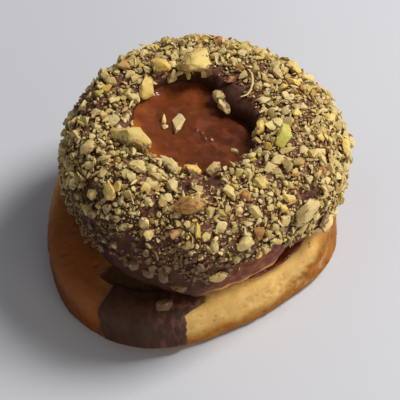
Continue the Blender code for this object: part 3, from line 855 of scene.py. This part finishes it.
def make_base(look):
    mesh = turned_mesh("base_crumb", base_profile(), BASE_STEPS, base_place)
    points = places(mesh)
    radius, turns = polar(points)
    height = points[:, 2]
    draw = np.random.default_rng(5)
    count, *sizes = SIDE_PITS
    angle = draw.uniform(-math.pi, math.pi, count)
    pit_height = draw.uniform(1.0, BASE_THICKNESS, count)
    inward = np.where(pit_height > PITS_TURN_IN, draw.uniform(0.0, PITS_INWARD, count), 0.0)
    spots = base_place(BASE_RADIUS - 0.1 - inward, angle, pit_height)
    spots[:, 2] = np.where(inward > 2.0, BASE_THICKNESS, pit_height)
    pits = drawn_hollows(draw, points, spots, *sizes)
    count, *sizes = UNDER_PITS
    angle = draw.uniform(-math.pi, math.pi, count)
    spots = around(angle, UNDER_PITS_WITHIN * np.sqrt(draw.random(count)), np.zeros(count))
    under_pits = drawn_hollows(draw, points, spots, *sizes)
    on_underside = (height < 0.05) & (radius < UNDER_PITS_WITHIN + 1.0)
    # Where the ledge is stained with chocolate and darkened as painted shadow under the ring's foot
    beside_run = np.exp(-(((turns - STAIN_AND_SHADOW_MIDDLE) / STAIN_AND_SHADOW_WIDTH) ** 4))
    within = fade(STAIN_AND_SHADOW_RADIUS + swelling(turns, STAIN_AND_SHADOW_SWELLS) - radius, 0.0, 0.6)
    keep_value(mesh, "stain_and_shadow", beside_run * within * fade(height, STAIN_AND_SHADOW_ABOVE, 1.0))
    above_foot = fade(height, 0.1, 0.6)
    raised = relief(points, BASE_RELIEF)
    raise_by(mesh, (raised - pits) * above_foot - under_pits * on_underside)
    mesh.shade_smooth()
    return piece("base_crumb", mesh, look, "base_biscuit")


# ---------------------------------------------------------------- ring


def lean_shift(height):
    """How far the lean moves the ring sideways at this height."""
    distance = math.tan(RING_LEAN) * (height - RING_FLOOR)
    return distance * math.cos(RING_LEANS_TOWARDS), distance * math.sin(RING_LEANS_TOWARDS)


def ring_place(radius, angle, height):
    """The place in the real ring of a point of the evenly turned one."""
    out_share = np.clip((radius - HOLE_RADIUS) / (RING_RADIUS - HOLE_RADIUS), 0.0, 1.0)
    height_share = np.maximum((height - RING_FLOOR) / RING_HEIGHT, 0.0)
    swell_left = 1.0 + (SWELL_LEFT_AT_CREST - 1.0) * height_share
    outer = RING_RADIUS * wavy(angle, RING_WAVES) + swelling(angle, RING_SWELLS) * swell_left
    inner = HOLE_RADIUS * wavy(angle, HOLE_WAVES) + swelling(angle, HOLE_SWELLS)
    moved = around(angle, radius + inner + (outer - inner) * out_share, 0.0)
    moved[..., 2] = height + RING_HEIGHT * wavy(angle, CREST_WAVES) * height_share**2
    for side in range(2):
        moved[..., side] += HOLE_CENTRE[side] + (RING_CENTRE[side] - HOLE_CENTRE[side]) * out_share
    away = moved[..., :2] - np.array(RING_CENTRE)
    towards = away[..., 0] * math.cos(RING_LEANS_TOWARDS) + away[..., 1] * math.sin(RING_LEANS_TOWARDS)
    lean_share = np.maximum((moved[..., 2] - RING_FLOOR) / RING_HEIGHT, 0.0)
    drop = math.tan(RING_LEAN) * towards * lean_share
    shift_x, shift_y = lean_shift(moved[..., 2])
    return moved + np.stack([shift_x, shift_y, -drop], -1)


def ring_profile(fineness=1):
    """The ring's outline from the hole's rim over the crest and down to the foot."""
    rim = arc(
        (HOLE_RADIUS + HOLE_RIM_ROUND, RING_CREST - HOLE_RIM_ROUND),
        (HOLE_RIM_ROUND, HOLE_RIM_ROUND), 180, 90, 3 * fineness,
    )
    shoulder = arc(
        (RING_RADIUS - RING_SHOULDER, RING_FLOOR + WAIST_HEIGHT),
        (RING_SHOULDER, RING_HEIGHT - WAIST_HEIGHT), 90, 0, 6 * fineness,
    )
    foot = arc(
        (RING_RADIUS - RING_FOOT_ROUND, RING_FLOOR + WAIST_HEIGHT),
        (RING_FOOT_ROUND, WAIST_HEIGHT), 0, -90, 4 * fineness,
    )
    return np.concatenate([rim, shoulder, foot[1:]])


def bareness(angle, height):
    """How bare of nuts the bare side is, from 0 to 1 at its middle by the foot."""
    away = ((angle - BARE_SIDE + math.pi) % math.tau - math.pi) / BARE_SIDE_WIDTH
    lowness = 1.0 - (height - RING_FLOOR) / RING_HEIGHT
    return np.exp(-away * away) * np.maximum(lowness, 0.0)


def foot_clearance(angle):
    """The height below which no nuts lie."""
    return RING_FLOOR + NUT_CLEAR_OF_FOOT + swelling(angle, BARE_LIP)


def on_ring(direction, share):
    """The place on the real ring at a direction in degrees and a share of its profile."""
    (radius, height), _ = point_on([tuple(point) for point in ring_profile()], share)
    return ring_place(radius, np.array(math.radians(direction)), height)


def draw_in_foot(mesh):
    """Moves the coat's foot inward on the front right, less and less up to a height."""
    points = places(mesh)
    out, turns = polar(points)
    low = fade(RING_FLOOR + DRAWN_IN_FROM - points[:, 2], 0.0, DRAWN_IN_FROM)
    drawn_in = swelling(turns, FOOT_DRAWN_IN) * low * fade(out, DRAWN_IN_BEYOND, 4.0)
    points[:, :2] *= (1.0 - drawn_in / np.maximum(out, 1.0))[:, None]
    move_to(mesh, points)


def ring_mesh(name, spacing, steps):
    """The ring's skin. It keeps how thickly nuts cover it, how smeared with chocolate and darkened
    with painted shade it is, and where it is the bare lip or the inside of the hole."""
    shown = evenly(ring_profile(4), spacing)
    hidden = evenly([shown[-1], (HOLE_RADIUS, RING_FLOOR)], 1.5)
    wall = evenly([(HOLE_RADIUS, RING_FLOOR), shown[0]], 1.0)
    profile = np.concatenate([shown, hidden[1:], wall[1:-1]])
    mesh = turned_mesh(name, profile, steps, ring_place, closed=True)
    raise_by(mesh, RING_RELIEF * lumps(places(mesh), RING_LUMP_SIZE))
    points = places(mesh)
    turns = np.tile(np.linspace(0.0, math.tau, steps, endpoint=False), len(profile))
    radius = np.repeat(profile[:, 0], steps)
    height = np.repeat(profile[:, 1], steps)

    bare = bareness(turns, height)
    thin = np.clip(relief(points, THIN_COVER), 0.0, 1.0)
    above_lip = fade(height - foot_clearance(turns), -COVER_FADE / 2, COVER_FADE)
    bare_rim = 0.15 + 1.5 * swelling(turns, BARE_RIM)
    outside_hole = fade(radius - HOLE_RADIUS - bare_rim, 0.0, 0.5)
    on_wall = (height < RING_CREST - HOLE_RIM_ROUND - 0.1) & (radius < HOLE_RADIUS + 0.1)
    outside_hole[on_wall] = 0.0
    spots = [ring_place(nut[0], np.array(nut[1]), nut[2]) for nut in LARGE_NUTS]
    nut_widths = [UNDER_NUT_WIDTH * nut[4] for nut in LARGE_NUTS]
    under_nuts = hollows(points, spots, nut_widths, [UNDER_NUT_HIDDEN] * len(spots))
    directions, shares, widths, depths = zip(*BARE_PATCHES)
    patches = hollows(points, list(map(on_ring, directions, shares)), widths, depths)
    cover = np.clip(1.0 - 1.1 * bare - 0.35 * bare**2 - THIN_COVER_LOSS * thin, 0.0, 1.0)
    cover = cover * above_lip * outside_hole * (1.0 - under_nuts) * (1.0 - patches)
    cover[(len(shown) - 1) * steps :] = 0.0
    lip = swelling(turns, BARE_LIP) / LIP_HEIGHT

    keep_value(mesh, "cover", cover)
    # Smear, and painted shade, where the side is bare and in the bare patches
    keep_value(mesh, "smear_and_shade", np.clip(1.5 * bare + 0.6 * patches, 0.0, 1.0))
    keep_value(mesh, "lip", lip * (1.0 - above_lip) * (height > RING_FLOOR + 0.1))
    keep_value(mesh, "inner", 1.0 - outside_hole)
    draw_in_foot(mesh)
    return mesh


def make_coat(look):
    mesh = ring_mesh("chocolate_coat", COAT_FINE, COAT_STEPS)
    points = places(mesh)
    smear_and_shade = kept_value(mesh, "smear_and_shade")
    rows = [(clean + more * smear_and_shade, size, seed) for clean, more, size, seed in COAT_RELIEF]
    raise_by(mesh, relief(points, rows) - COAT_SUNK)
    points = places(mesh)
    out, turns = polar(points)
    low = np.clip((RING_FLOOR + LIP_DROOP_FROM - points[:, 2]) / LIP_DROOP_FROM, 0.0, 1.2)
    droop = LIP_DROOP * swelling(turns, BARE_LIP) / LIP_HEIGHT + swelling(turns, LIP_SAG)
    points[:, 2] -= droop * low**1.5 * fade(out, LIP_DROOP_BEYOND, 1.0)
    move_to(mesh, points)
    mesh.shade_smooth()
    return piece("chocolate_coat", mesh, look, "pistachio_ring")


# ---------------------------------------------------------------- nuts


def drawn_facing(draw):
    return Vector([draw.gauss(0.0, 1.0) for _ in range(3)]).normalized()


def chopped_shape(draw, corners, cuts, sides, shallow=0.12, deep=0.34, broken=0):
    """One chopped piece, 1 mm long: a squashed ball with a few flat cuts, as the hull of its points.
    Where it is broken, its faces are divided this many times and uneven."""
    shaped = bmesh.new()
    planes = [(drawn_facing(draw), draw.uniform(shallow, deep)) for _ in range(cuts)]
    for _ in range(corners):
        point = drawn_facing(draw) * 0.5
        point *= draw.uniform(0.88, 1.08)
        for facing, depth in planes:
            over = point.dot(facing) - depth
            if over > 0.0:
                point -= facing * over
        shaped.verts.new([side * share for side, share in zip(point, sides)])
    hull = bmesh.ops.convex_hull(shaped, input=shaped.verts)
    inside = [item for item in hull["geom_interior"] if isinstance(item, bmesh.types.BMVert)]
    bmesh.ops.delete(shaped, geom=inside, context="VERTS")
    if broken:
        bmesh.ops.triangulate(shaped, faces=shaped.faces)
        bmesh.ops.subdivide_edges(shaped, edges=shaped.edges, cuts=broken, use_grid_fill=True)
        shift = Vector((draw.uniform(0.0, 50.0), 0.0, 0.0))
        for point in shaped.verts:
            point.co *= 1.0 + sum(
                depth * noise.noise(point.co * count + shift) for depth, count in BROKEN_RELIEF
            )
    bmesh.ops.recalc_face_normals(shaped, faces=shaped.faces)
    mesh = bpy.data.meshes.new("chopped_shape")
    shaped.to_mesh(mesh)
    shaped.free()
    mesh.shade_smooth()
    mesh.set_sharp_from_angle(angle=math.radians(32))
    keep_value(mesh, "rise", [2.0 * point.co.z for point in mesh.vertices])
    return mesh


def shape_family(name, draw, kinds, corners, cuts, slimness):
    """A collection of differently chopped shapes, kept out of the render."""
    family = bpy.data.collections.new(name)
    for number in range(kinds):
        sides = (1.0, draw.uniform(0.6, 0.95) * slimness, draw.uniform(0.4, 0.8) * slimness)
        shape = bpy.data.objects.new(f"{name}_{number:02d}", chopped_shape(draw, corners, cuts, sides))
        family.objects.link(shape)
    return family


def nut_spots(draw):
    """Each large nut's radius, direction and height on the turned ring, its outward direction,
    size, tone, length and heading, in the solids' order. Only a standout nut has a tone."""
    profile = [tuple(point) for point in ring_profile()]
    taken = []
    for direction, share, size, tone, length, heading in STANDOUT_NUTS:
        (radius, height), out = point_on(profile, share)
        angle = math.radians(direction)
        taken.append(((radius * math.cos(angle), radius * math.sin(angle), height), size))
        yield radius, angle, height, out, size, tone, length, heading
    for number in range(STREWN_NUTS):
        shrink = (NUT_LARGEST - NUT_SMALLEST) * (number / STREWN_NUTS) ** NUT_SIZE_POWER
        size = NUT_LARGEST - shrink
        free = False
        while not free:
            (radius, height), out = point_on(profile, draw.random())
            angle = draw.uniform(-math.pi, math.pi)
            low = height < foot_clearance(np.array(angle))
            in_hole = radius < HOLE_RADIUS + NUT_CLEAR_OF_HOLE + swelling(np.array(angle), BARE_RIM)
            crowded_in = draw.random() > radius / RING_RADIUS
            left_bare = draw.random() < bareness(angle, height)
            if low or in_hole or crowded_in or left_bare:
                continue
            spot = (radius * math.cos(angle), radius * math.sin(angle), height)
            free = all(
                math.dist(spot, other) > NUT_SPACING * (size + width / 2) for other, width in taken
            )
        taken.append((spot, size))
        yield radius, angle, height, out, size, None, 1.0, None


def joined(name, parts):
    """One mesh of (mesh, matrix, tone, smear) parts, which keep their rise."""
    made = bmesh.new()
    tone_layer = made.verts.layers.float.new("tone")
    smear_layer = made.verts.layers.float.new("smear_and_shade")
    for mesh, matrix, tone, smear_and_shade in parts:
        first = len(made.verts)
        made.from_mesh(mesh)
        made.verts.ensure_lookup_table()
        for point in made.verts[first:]:
            point.co = matrix @ point.co
            point[tone_layer] = tone
            point[smear_layer] = smear_and_shade
    whole = bpy.data.meshes.new(name)
    made.to_mesh(whole)
    made.free()
    return whole


def lying_nut(draw, spot, outward, size, length, heading=None, broken=1):
    """One large chopped nut and its place, lying on the surface that faces outward there."""
    sides = (length**0.5, draw.uniform(0.75, 0.95) / length**0.5, draw.uniform(0.5, 0.72))
    shallow, deep = (0.28, 0.44) if broken > 1 else (0.22, 0.44)
    mesh = chopped_shape(
        draw, LARGE_NUT_CORNERS, LARGE_NUT_CUTS, sides, shallow, deep, broken
    )
    turn = Euler((draw.uniform(-0.35, 0.35), draw.uniform(-0.35, 0.35), 0.0))
    drawn = draw.uniform(0.0, math.tau)
    heading = drawn if heading is None else math.radians(heading)
    along = Vector((math.cos(heading), math.sin(heading), 0.0))
    along = (along - outward * along.dot(outward)).normalized()
    lying = Matrix((along, outward.cross(along), outward)).transposed() @ turn.to_matrix()
    scale = Matrix.Scale(size * LARGE_NUT_FULLNESS * MM, 4)
    return mesh, Matrix.Translation(Vector(spot) * MM) @ lying.to_4x4() @ scale


def make_large_nuts(look):
    """Makes the piece, and gives a copy of its mesh with the cover that crumbs lie by."""
    shaping = random.Random(3)
    parts = []
    for number, (radius, angle, height, out, size, tone, length, heading) in enumerate(LARGE_NUTS):
        lift, larger, broken = STANDOUT_SETTING if tone else STREWN_SETTING
        outward = Vector((out[0] * math.cos(angle), out[0] * math.sin(angle), out[1]))
        spot = Vector(ring_place(radius, np.array(angle), height)) + lift * size * outward
        full_size = size * larger * SHOWN_LARGER.get(number, 1.0)
        mesh, matrix = lying_nut(shaping, spot, outward, full_size, length, heading, broken)
        drawn_tone = shaping.uniform(*STREWN_TONES)
        # Strewn nuts on the bare low side get smear and painted shade
        smear_and_shade = STANDOUT_SMEAR if tone else float(bareness(np.array(angle), height))
        parts.append((mesh, matrix, tone or drawn_tone, smear_and_shade))
    nuts = joined("nuts_large", parts)
    crumbed = nuts.copy()
    cover = np.clip(CRUMBS_LEAST + relief(places(nuts), CRUMB_LUMPS), 0.0, CRUMBS_MOST)
    keep_value(crumbed, "cover", cover)
    piece("nuts_large", nuts, look, "pistachio_ring")
    return crumbed


def scatter_tree():
    """Chopped shapes strewn over a surface, thickest where its cover is highest."""
    tree = bpy.data.node_groups.new("strewn_nuts", "GeometryNodeTree")
    kinds = {"Surface": "Geometry", "Shapes": "Collection", "Look": "Material"}
    kinds |= dict.fromkeys(LAYER_SETTINGS, "Float") | {"Seed": "Int"}
    sockets = {}
    for name, kind in kinds.items():
        offered = tree.interface.new_socket(name, in_out="INPUT", socket_type="NodeSocket" + kind)
        sockets[name] = offered.identifier
    tree.interface.new_socket("Nuts", in_out="OUTPUT", socket_type="NodeSocketGeometry")
    nodes = Nodes(tree)
    given = nodes.add("NodeGroupInput").outputs

    def drawn(seed, most=1.0):
        """A number from 0 to this, drawn for each nut."""
        settings = {2: 0.0, 3: most, "Seed": seed}
        return nodes.add("FunctionNodeRandomValue", settings, data_type="FLOAT").outputs[1]

    cover = nodes.add("GeometryNodeInputNamedAttribute", {"Name": "cover"}, data_type="FLOAT")
    strewn = nodes.add(
        "GeometryNodeDistributePointsOnFaces",
        {
            "Mesh": given["Surface"], "Distance Min": given["Spacing"], "Density Max": given["Most"],
            "Density Factor": cover, "Seed": given["Seed"],
        },
        distribute_method="POISSON",
    ).outputs
    eased = nodes.worked_out(drawn(11), "POWER", 1.5)
    size = nodes.add("ShaderNodeMapRange", {0: eased, 3: given["Smallest"], 4: given["Largest"]})
    lift = {0: strewn["Normal"], "Scale": nodes.times(size, given["Lift"])}
    lift = nodes.add("ShaderNodeVectorMath", lift, operation="SCALE")
    raised = nodes.add("GeometryNodeSetPosition", {0: strewn["Points"], "Offset": lift})
    least, most = nodes.times(given["Tilt"], -1.0), given["Tilt"]
    low = nodes.add("ShaderNodeCombineXYZ", {0: least, 1: least, 2: 0.0})
    high = nodes.add("ShaderNodeCombineXYZ", {0: most, 1: most, 2: math.tau})
    tilt = {0: low, 1: high, "Seed": 12}
    tilt = nodes.add("FunctionNodeRandomValue", tilt, data_type="FLOAT_VECTOR")
    lying = {0: strewn["Rotation"], 1: nodes.add("FunctionNodeEulerToRotation", {0: tilt})}
    lying = nodes.add("FunctionNodeRotateRotation", lying, rotation_space="LOCAL")
    shapes = {"Collection": given["Shapes"], "Separate Children": True, "Reset Children": True}
    shapes = nodes.add("GeometryNodeCollectionInfo", shapes)
    which = nodes.add("FunctionNodeRandomValue", {4: 0, 5: 999, "Seed": 13}, data_type="INT")
    laid = nodes.add(
        "GeometryNodeInstanceOnPoints",
        {
            "Points": raised, "Instance": shapes, "Pick Instance": True,
            "Instance Index": which.outputs[2], "Rotation": lying, "Scale": size,
        },
    )
    tone = {"Geometry": laid, "Name": "tone", "Value": nodes.plus(drawn(14, 0.5), drawn(15, 0.5))}
    toned = nodes.add(
        "GeometryNodeStoreNamedAttribute", tone, data_type="FLOAT", domain="INSTANCE"
    )
    real = nodes.add("GeometryNodeRealizeInstances", {"Geometry": toned})
    finished = nodes.add("GeometryNodeSetMaterial", {0: real, "Material": given["Look"]})
    nodes.add("NodeGroupOutput", {0: finished})
    return tree, sockets


def strew(name, tree, sockets, surface, given):
    """Runs the tree on a surface with what it is given, and makes its result a plain mesh piece."""
    carrier = bpy.data.objects.new(name + "_carrier", surface)
    bpy.context.scene.collection.objects.link(carrier)
    modifier = carrier.modifiers.new("strewn", "NODES")
    modifier.node_group = tree
    for socket, value in given.items():
        modifier[sockets[socket]] = value
    bpy.context.view_layer.update()
    graph = bpy.context.evaluated_depsgraph_get()
    mesh = bpy.data.meshes.new_from_object(carrier.evaluated_get(graph))
    mesh.name = name
    bpy.data.objects.remove(carrier, do_unlink=True)
    return piece(name, mesh, given["Look"], "pistachio_ring")


def make_strewn_nuts(look, crumbed):
    tree, sockets = scatter_tree()
    draws = {"grains": random.Random(17), "slivers": random.Random(23)}
    families = {}
    for name, (kinds, corners, cuts, slimness, draw) in SHAPE_FAMILIES.items():
        families[name] = shape_family(name, draws[draw], kinds, corners, cuts, slimness)
    carrier = ring_mesh("nut_carrier", CARRIER_FINE, CARRIER_STEPS)
    surfaces = {"ring": carrier, "large nuts": crumbed}
    for name, (surface, family, *settings) in NUT_LAYERS.items():
        given = dict(zip(LAYER_SETTINGS, settings), Look=look, Shapes=families[family])
        strew(name, tree, sockets, surfaces[surface], given)


def make_shred(look):
    """A thin curled shred of nut, as a tapered round strand over the ring."""
    middle = np.array([on_ring(direction, share) for direction, share in SHRED_PATH])
    marks = np.linspace(0.0, 1.0, SHRED_STEPS)
    known = np.linspace(0.0, 1.0, len(middle))
    middle = np.stack([np.interp(marks, known, middle[:, side]) for side in range(3)], 1)
    for _ in range(SHRED_SMOOTHINGS):
        middle[1:-1] = (middle[:-2] + 2.0 * middle[1:-1] + middle[2:]) / 4.0
    middle[:, 2] += SHRED_LIFT + SHRED_WAVE * np.sin(marks * SHRED_WAVES)
    along = np.gradient(middle, axis=0)
    along /= np.linalg.norm(along, axis=1)[:, None]
    across = np.cross(along, [0.0, 0.0, 1.0])
    across /= np.linalg.norm(across, axis=1)[:, None]
    above = np.cross(across, along)
    half = SHRED_WIDTH / 2 * (0.25 + 0.75 * np.sin(math.pi * marks) ** 0.5)
    turn = np.linspace(0.0, math.tau, SHRED_SIDES, endpoint=False)[None, :, None]
    section = across[:, None] * np.cos(turn) + SHRED_FLATNESS * above[:, None] * np.sin(turn)
    points = (middle[:, None] + half[:, None, None] * section).reshape(-1, 3)
    faces = grid_faces(SHRED_STEPS, SHRED_SIDES, closed=False)
    first_end = list(range(SHRED_SIDES))
    last = len(points) - SHRED_SIDES
    faces += [first_end, [last + side for side in reversed(first_end)]]
    mesh = built_mesh("nut_shred", points, faces)
    shaped = bmesh.new()
    shaped.from_mesh(mesh)
    bmesh.ops.recalc_face_normals(shaped, faces=shaped.faces)
    shaped.to_mesh(mesh)
    shaped.free()
    keep_value(mesh, "tone", np.full(len(points), CREAM))
    keep_value(mesh, "rise", np.full(len(points), 1.0))
    mesh.shade_smooth()
    return piece("nut_shred", mesh, look)


# ---------------------------------------------------------------- jam


def jam_place(radius, angle, height):
    """Plug points follow the uneven hole, and layer points the layer's own outline."""
    stretched = radius * (1.0 + wavy(angle, HOLE_WAVES) + swelling(angle, HOLE_SWELLS) / HOLE_RADIUS)
    shift_x, shift_y = lean_shift(height)
    height_share = (height - JAM_BOTTOM) / (JAM_LEVEL - JAM_BOTTOM)
    fall = math.tan(JAM_SLOPE) * stretched * np.cos(angle - JAM_SLOPES_TOWARDS)
    sloped = height - fall * height_share
    plug = around(angle, stretched, sloped) + np.stack(
        [HOLE_CENTRE[0] + shift_x, HOLE_CENTRE[1] + shift_y, 0.0 * height], -1
    )
    swelled = radius + swelling(angle, JAM_SWELLS) * radius / JAM_LAYER_RADIUS
    layer = around(angle, swelled, height) + np.array([*JAM_LAYER_CENTRE, 0.0])
    return plug + (layer - plug) * fade(radius, PLUG_RADIUS, PLUG_TO_LAYER)[:, None]


def on_jam(distance, direction, height):
    """The place on the jam at a distance and a direction in degrees from its middle."""
    angle = math.radians(direction)
    return jam_place(np.array([distance]), np.array([angle]), np.array([height]))[0]


def jam_profile():
    """The jam's outline from its crown over the rim, down the plug and round the layer."""
    half = JAM_LAYER_THICKNESS / 2
    crown = arc((0.0, JAM_LEVEL), (PLUG_RADIUS - 1.0, JAM_CROWN), 88, 10, 10)
    rim_middle = (PLUG_RADIUS + JAM_RIM_OUT, JAM_LEVEL - JAM_RIM_ROUND)
    rim = arc(rim_middle, (JAM_RIM_ROUND, JAM_RIM_ROUND), 80, 0, 6)
    edge = arc((JAM_LAYER_RADIUS - half, JAM_BOTTOM + half), (half, half), 90, -90, 10)
    top = evenly(np.concatenate([crown, rim]), FINE)
    overhang = (PLUG_RADIUS + JAM_RIM_OUT + JAM_RIM_ROUND, JAM_LEVEL - JAM_OVERHANG_DOWN)
    wall_top, wall_foot = (PLUG_RADIUS, JAM_LEVEL - JAM_WALL_DOWN), (PLUG_RADIUS, JAM_LAYER_TOP)
    wall = evenly([rim[-1], overhang, wall_top, wall_foot], 1.2)
    layer = evenly([wall_foot, edge[0]], 1.0)
    under = evenly([edge[-1], (POLE_RADIUS, JAM_BOTTOM)], 1.0)
    return np.concatenate([top, wall[1:], layer[1:], edge[1:], under[1:]])


def make_jam(look):
    mesh = turned_mesh("jam_glaze", jam_profile(), JAM_STEPS, jam_place)
    points = places(mesh)
    on_top = fade(points[:, 2] - JAM_LEVEL, -JAM_TOP_DEPTH, 1.0)
    out, _ = polar(points, JAM_LAYER_CENTRE)
    on_edge = (points[:, 2] < RING_FLOOR) & (out > JAM_EDGE_FROM)
    spots = [on_jam(distance, direction, JAM_LEVEL) for distance, direction in JAM_WRINKLES]
    count = len(spots)
    wrinkles = hollows(points, spots, [WRINKLE_WIDTH] * count, [WRINKLE_DEPTH] * count)
    out, turns = polar(points, HOLE_CENTRE)
    nearness = out / (HOLE_RADIUS * (1.0 + wavy(turns, HOLE_WAVES)) + swelling(turns, HOLE_SWELLS))
    # Where the jam is thin and where painted light is laid, on the left and at the front
    left_glow = fade(nearness, 0.6, 0.4) * swelling(turns, LEFT_GLOW)
    front_glow = fade(nearness, 0.15, 0.3) * swelling(turns, FRONT_GLOW)
    keep_value(mesh, "glow", (left_glow + front_glow) * on_top)
    on_top_raised = (relief(points, JAM_RIPPLES) + wrinkles) * on_top
    raise_by(mesh, on_top_raised + relief(points, JAM_SQUEEZED) * on_edge)
    points = places(mesh)
    points[:, 2] += swelling(turns, JAM_CREEP) * fade(nearness, 0.7, 0.3) ** 2 * on_top
    move_to(mesh, points)
    mesh.shade_smooth()
    return piece("jam_glaze", mesh, look, "jam_filling")


def make_jam_bits(look):
    shaping = random.Random(7)
    upward = Vector((0.0, 0.0, 1.0))
    parts = []
    for distance, direction, size, tone, length, heading in JAM_BITS:
        spot = on_jam(distance, direction, JAM_LEVEL + JAM_CROWN)
        parts.append((*lying_nut(shaping, spot, upward, size, length, heading), tone, 0.0))
    return piece("nuts_on_jam", joined("nuts_on_jam", parts), look, "jam_filling")


# ---------------------------------------------------------------- chocolate run


def run_profile():
    """The base's outline under the run, from the ledge over the edge and down the side."""
    edge_top = (BASE_RADIUS - BASE_TOP_ROUND, BASE_THICKNESS)
    ledge = evenly([(BASE_RADIUS - RUN_ON_LEDGE, BASE_THICKNESS), edge_top], FINE)
    side_top = (BASE_RADIUS, BASE_THICKNESS - BASE_TOP_ROUND)
    side = evenly([side_top, (BASE_RADIUS, RUN_FOOT_CLEARANCE)], FINE)
    return np.concatenate([ledge, base_top_edge(14)[1:], side[1:]])


def run_angles(down, share):
    """Directions across the run by how far down it they lie, with its uneven edges."""
    rag = waver(down, 1.3, 0.5) + 0.6 * waver(down, 0.5, 3.5)
    pooled = RUN_POOL / (1.0 + np.exp((down - RUN_POOL_LENGTH) / RUN_POOL_EDGE))
    right = RUN_RAG * rag + pooled
    angle = RUN_START + (RUN_END - RUN_START) * share
    angle = angle + share**3 * right[:, None]
    return angle + RUN_WOBBLE * (1 - share) ** 3 * waver(down, 3.0, 7.5)[:, None]


def sheet_faces(rows, columns):
    """Faces of a closed sheet: its outside and its back, which are grids, and its edges."""
    count = rows * columns
    faces = []
    for row in range(rows - 1):
        for column in range(columns - 1):
            corner = row * columns + column
            quad = [corner, corner + columns, corner + columns + 1, corner + 1]
            faces += [quad, [count + index for index in reversed(quad)]]
    border = list(range(columns))
    border += [row * columns + columns - 1 for row in range(1, rows)]
    border += [(rows - 1) * columns + column for column in range(columns - 2, -1, -1)]
    border += [row * columns for row in range(rows - 2, 0, -1)]
    for first, second in zip(border, border[1:] + border[:1]):
        faces.append([first, second, count + second, count + first])
    return faces


def make_run(look):
    """The skin of chocolate, thinner to its edges, as one closed sheet."""
    profile = run_profile()
    down = np.r_[0.0, np.cumsum(np.linalg.norm(np.diff(profile, axis=0), axis=1))]
    step = np.diff(profile, axis=0, append=[2 * profile[-1] - profile[-2]])
    step /= np.linalg.norm(step, axis=1)[:, None]
    outward = np.stack([-step[:, 1], step[:, 0]], 1)
    down_grid, share = np.meshgrid(down, np.linspace(0.0, 1.0, RUN_COLUMNS), indexing="ij")
    angle = run_angles(down, share)
    from_edge = np.minimum(share, 1.0 - share) * (RUN_END - RUN_START) * BASE_RADIUS
    from_end = down_grid[-1] - down_grid
    inset = np.sqrt(fade(np.minimum(from_edge, from_end), 0.0, RUN_EDGE_ROUND))
    spots = zip(angle.ravel(), down_grid.ravel())
    fat = [noise.noise(Vector((turn * 7.0, depth / 4.0, 1.5))) for turn, depth in spots]
    fat = np.array(fat).reshape(angle.shape)
    middle = RUN_THICKNESS * RUN_MIDDLE_SHARE + RUN_UNEVENNESS * fat
    thick = GAP - RUN_EDGE_SUNK + middle * inset
    where = around(angle, np.ones_like(angle), 0.0)[..., :2]
    shells = []
    for level in (thick, np.full_like(thick, -RUN_BACK_DEPTH)):
        radius = (profile[:, 0:1] + outward[:, 0:1] * level) * base_stretch(angle)
        height = profile[:, 1:2] + outward[:, 1:2] * level
        shell = np.concatenate([where * radius[..., None], height[..., None]], -1)
        shells.append(shell.reshape(-1, 3))
    faces = sheet_faces(len(profile), RUN_COLUMNS)
    mesh = built_mesh("chocolate_drip", np.concatenate(shells), faces)
    # The run's right side, which takes the painted light
    keep_value(mesh, "thin", np.tile(fade(share.ravel(), 0.5, 0.3), 2))
    mesh.shade_smooth()
    return piece("chocolate_drip", mesh, look, "chocolate_run")


def make_stuck_nut(look):
    """A nut that has come off the ring and lies on the run."""
    angle, down, size, length, heading, lift, tone, smear_and_shade = STUCK_NUT
    radius = BASE_RADIUS - RUN_ON_LEDGE + down
    spot = base_place(np.array(radius), np.array(angle), BASE_THICKNESS + RUN_THICKNESS)
    outward = Vector((0.0, -0.2, 1.0)).normalized()
    spot[2] += lift
    mesh, matrix = lying_nut(random.Random(21), spot, outward, size, length, heading)
    nut = joined("nut_on_run", [(mesh, matrix, tone, smear_and_shade)])
    return piece("nut_on_run", nut, look)


# ---------------------------------------------------------------- set


def make_floor():
    look = Look("pale_floor", roughness=0.75, specular_ior_level=0.2)
    look.color(look.mottled(FLOOR_SHADES, look.grain(60.0)))
    bpy.ops.mesh.primitive_plane_add(size=FLOOR_SIZE)
    floor = bpy.context.object
    floor.name = "floor"
    floor.data.materials.append(look.material)


def area_light(name, place, power, size, color):
    lamp = bpy.data.lights.new(name, "AREA")
    lamp.energy = power
    lamp.size = size
    lamp.color = color
    made = bpy.data.objects.new(name, lamp)
    made.location = place
    made.rotation_euler = (-Vector(place)).to_track_quat("-Z", "Y").to_euler()
    bpy.context.scene.collection.objects.link(made)


def light_the_set():
    for lamp in LAMPS:
        area_light(*lamp)
    world = bpy.data.worlds.new("studio")
    world.use_nodes = True
    sky = world.node_tree.nodes["Background"].inputs
    sky["Color"].default_value = STUDIO_COLOR
    sky["Strength"].default_value = STUDIO_LIGHT
    bpy.context.scene.world = world
    bpy.context.scene.view_settings.view_transform = "Standard"


def place_camera():
    camera = bpy.data.cameras.new("camera")
    camera.lens = CAMERA_LENS
    camera.sensor_width = SENSOR_WIDTH
    camera.clip_start, camera.clip_end = 0.05, 10.0
    made = bpy.data.objects.new("camera", camera)
    place, aim = Vector(CAMERA_PLACE) * MM, Vector(CAMERA_AIM) * MM
    made.location = place
    looking = (aim - place).to_track_quat("-Z", "Y")
    made.rotation_mode = "QUATERNION"
    made.rotation_quaternion = looking @ Euler((0.0, 0.0, -CAMERA_ROLL)).to_quaternion()
    bpy.context.scene.collection.objects.link(made)
    bpy.context.scene.camera = made


LARGE_NUTS = list(nut_spots(random.Random(SPOT_SEED)))
place_camera()
make_floor()
light_the_set()
make_base(shortbread_look())
make_coat(coat_look())
NUTS = nut_look()
make_strewn_nuts(NUTS, make_large_nuts(NUTS))
make_shred(NUTS)
make_jam(jam_look())
make_jam_bits(NUTS)
make_run(run_look())
make_stuck_nut(NUTS)
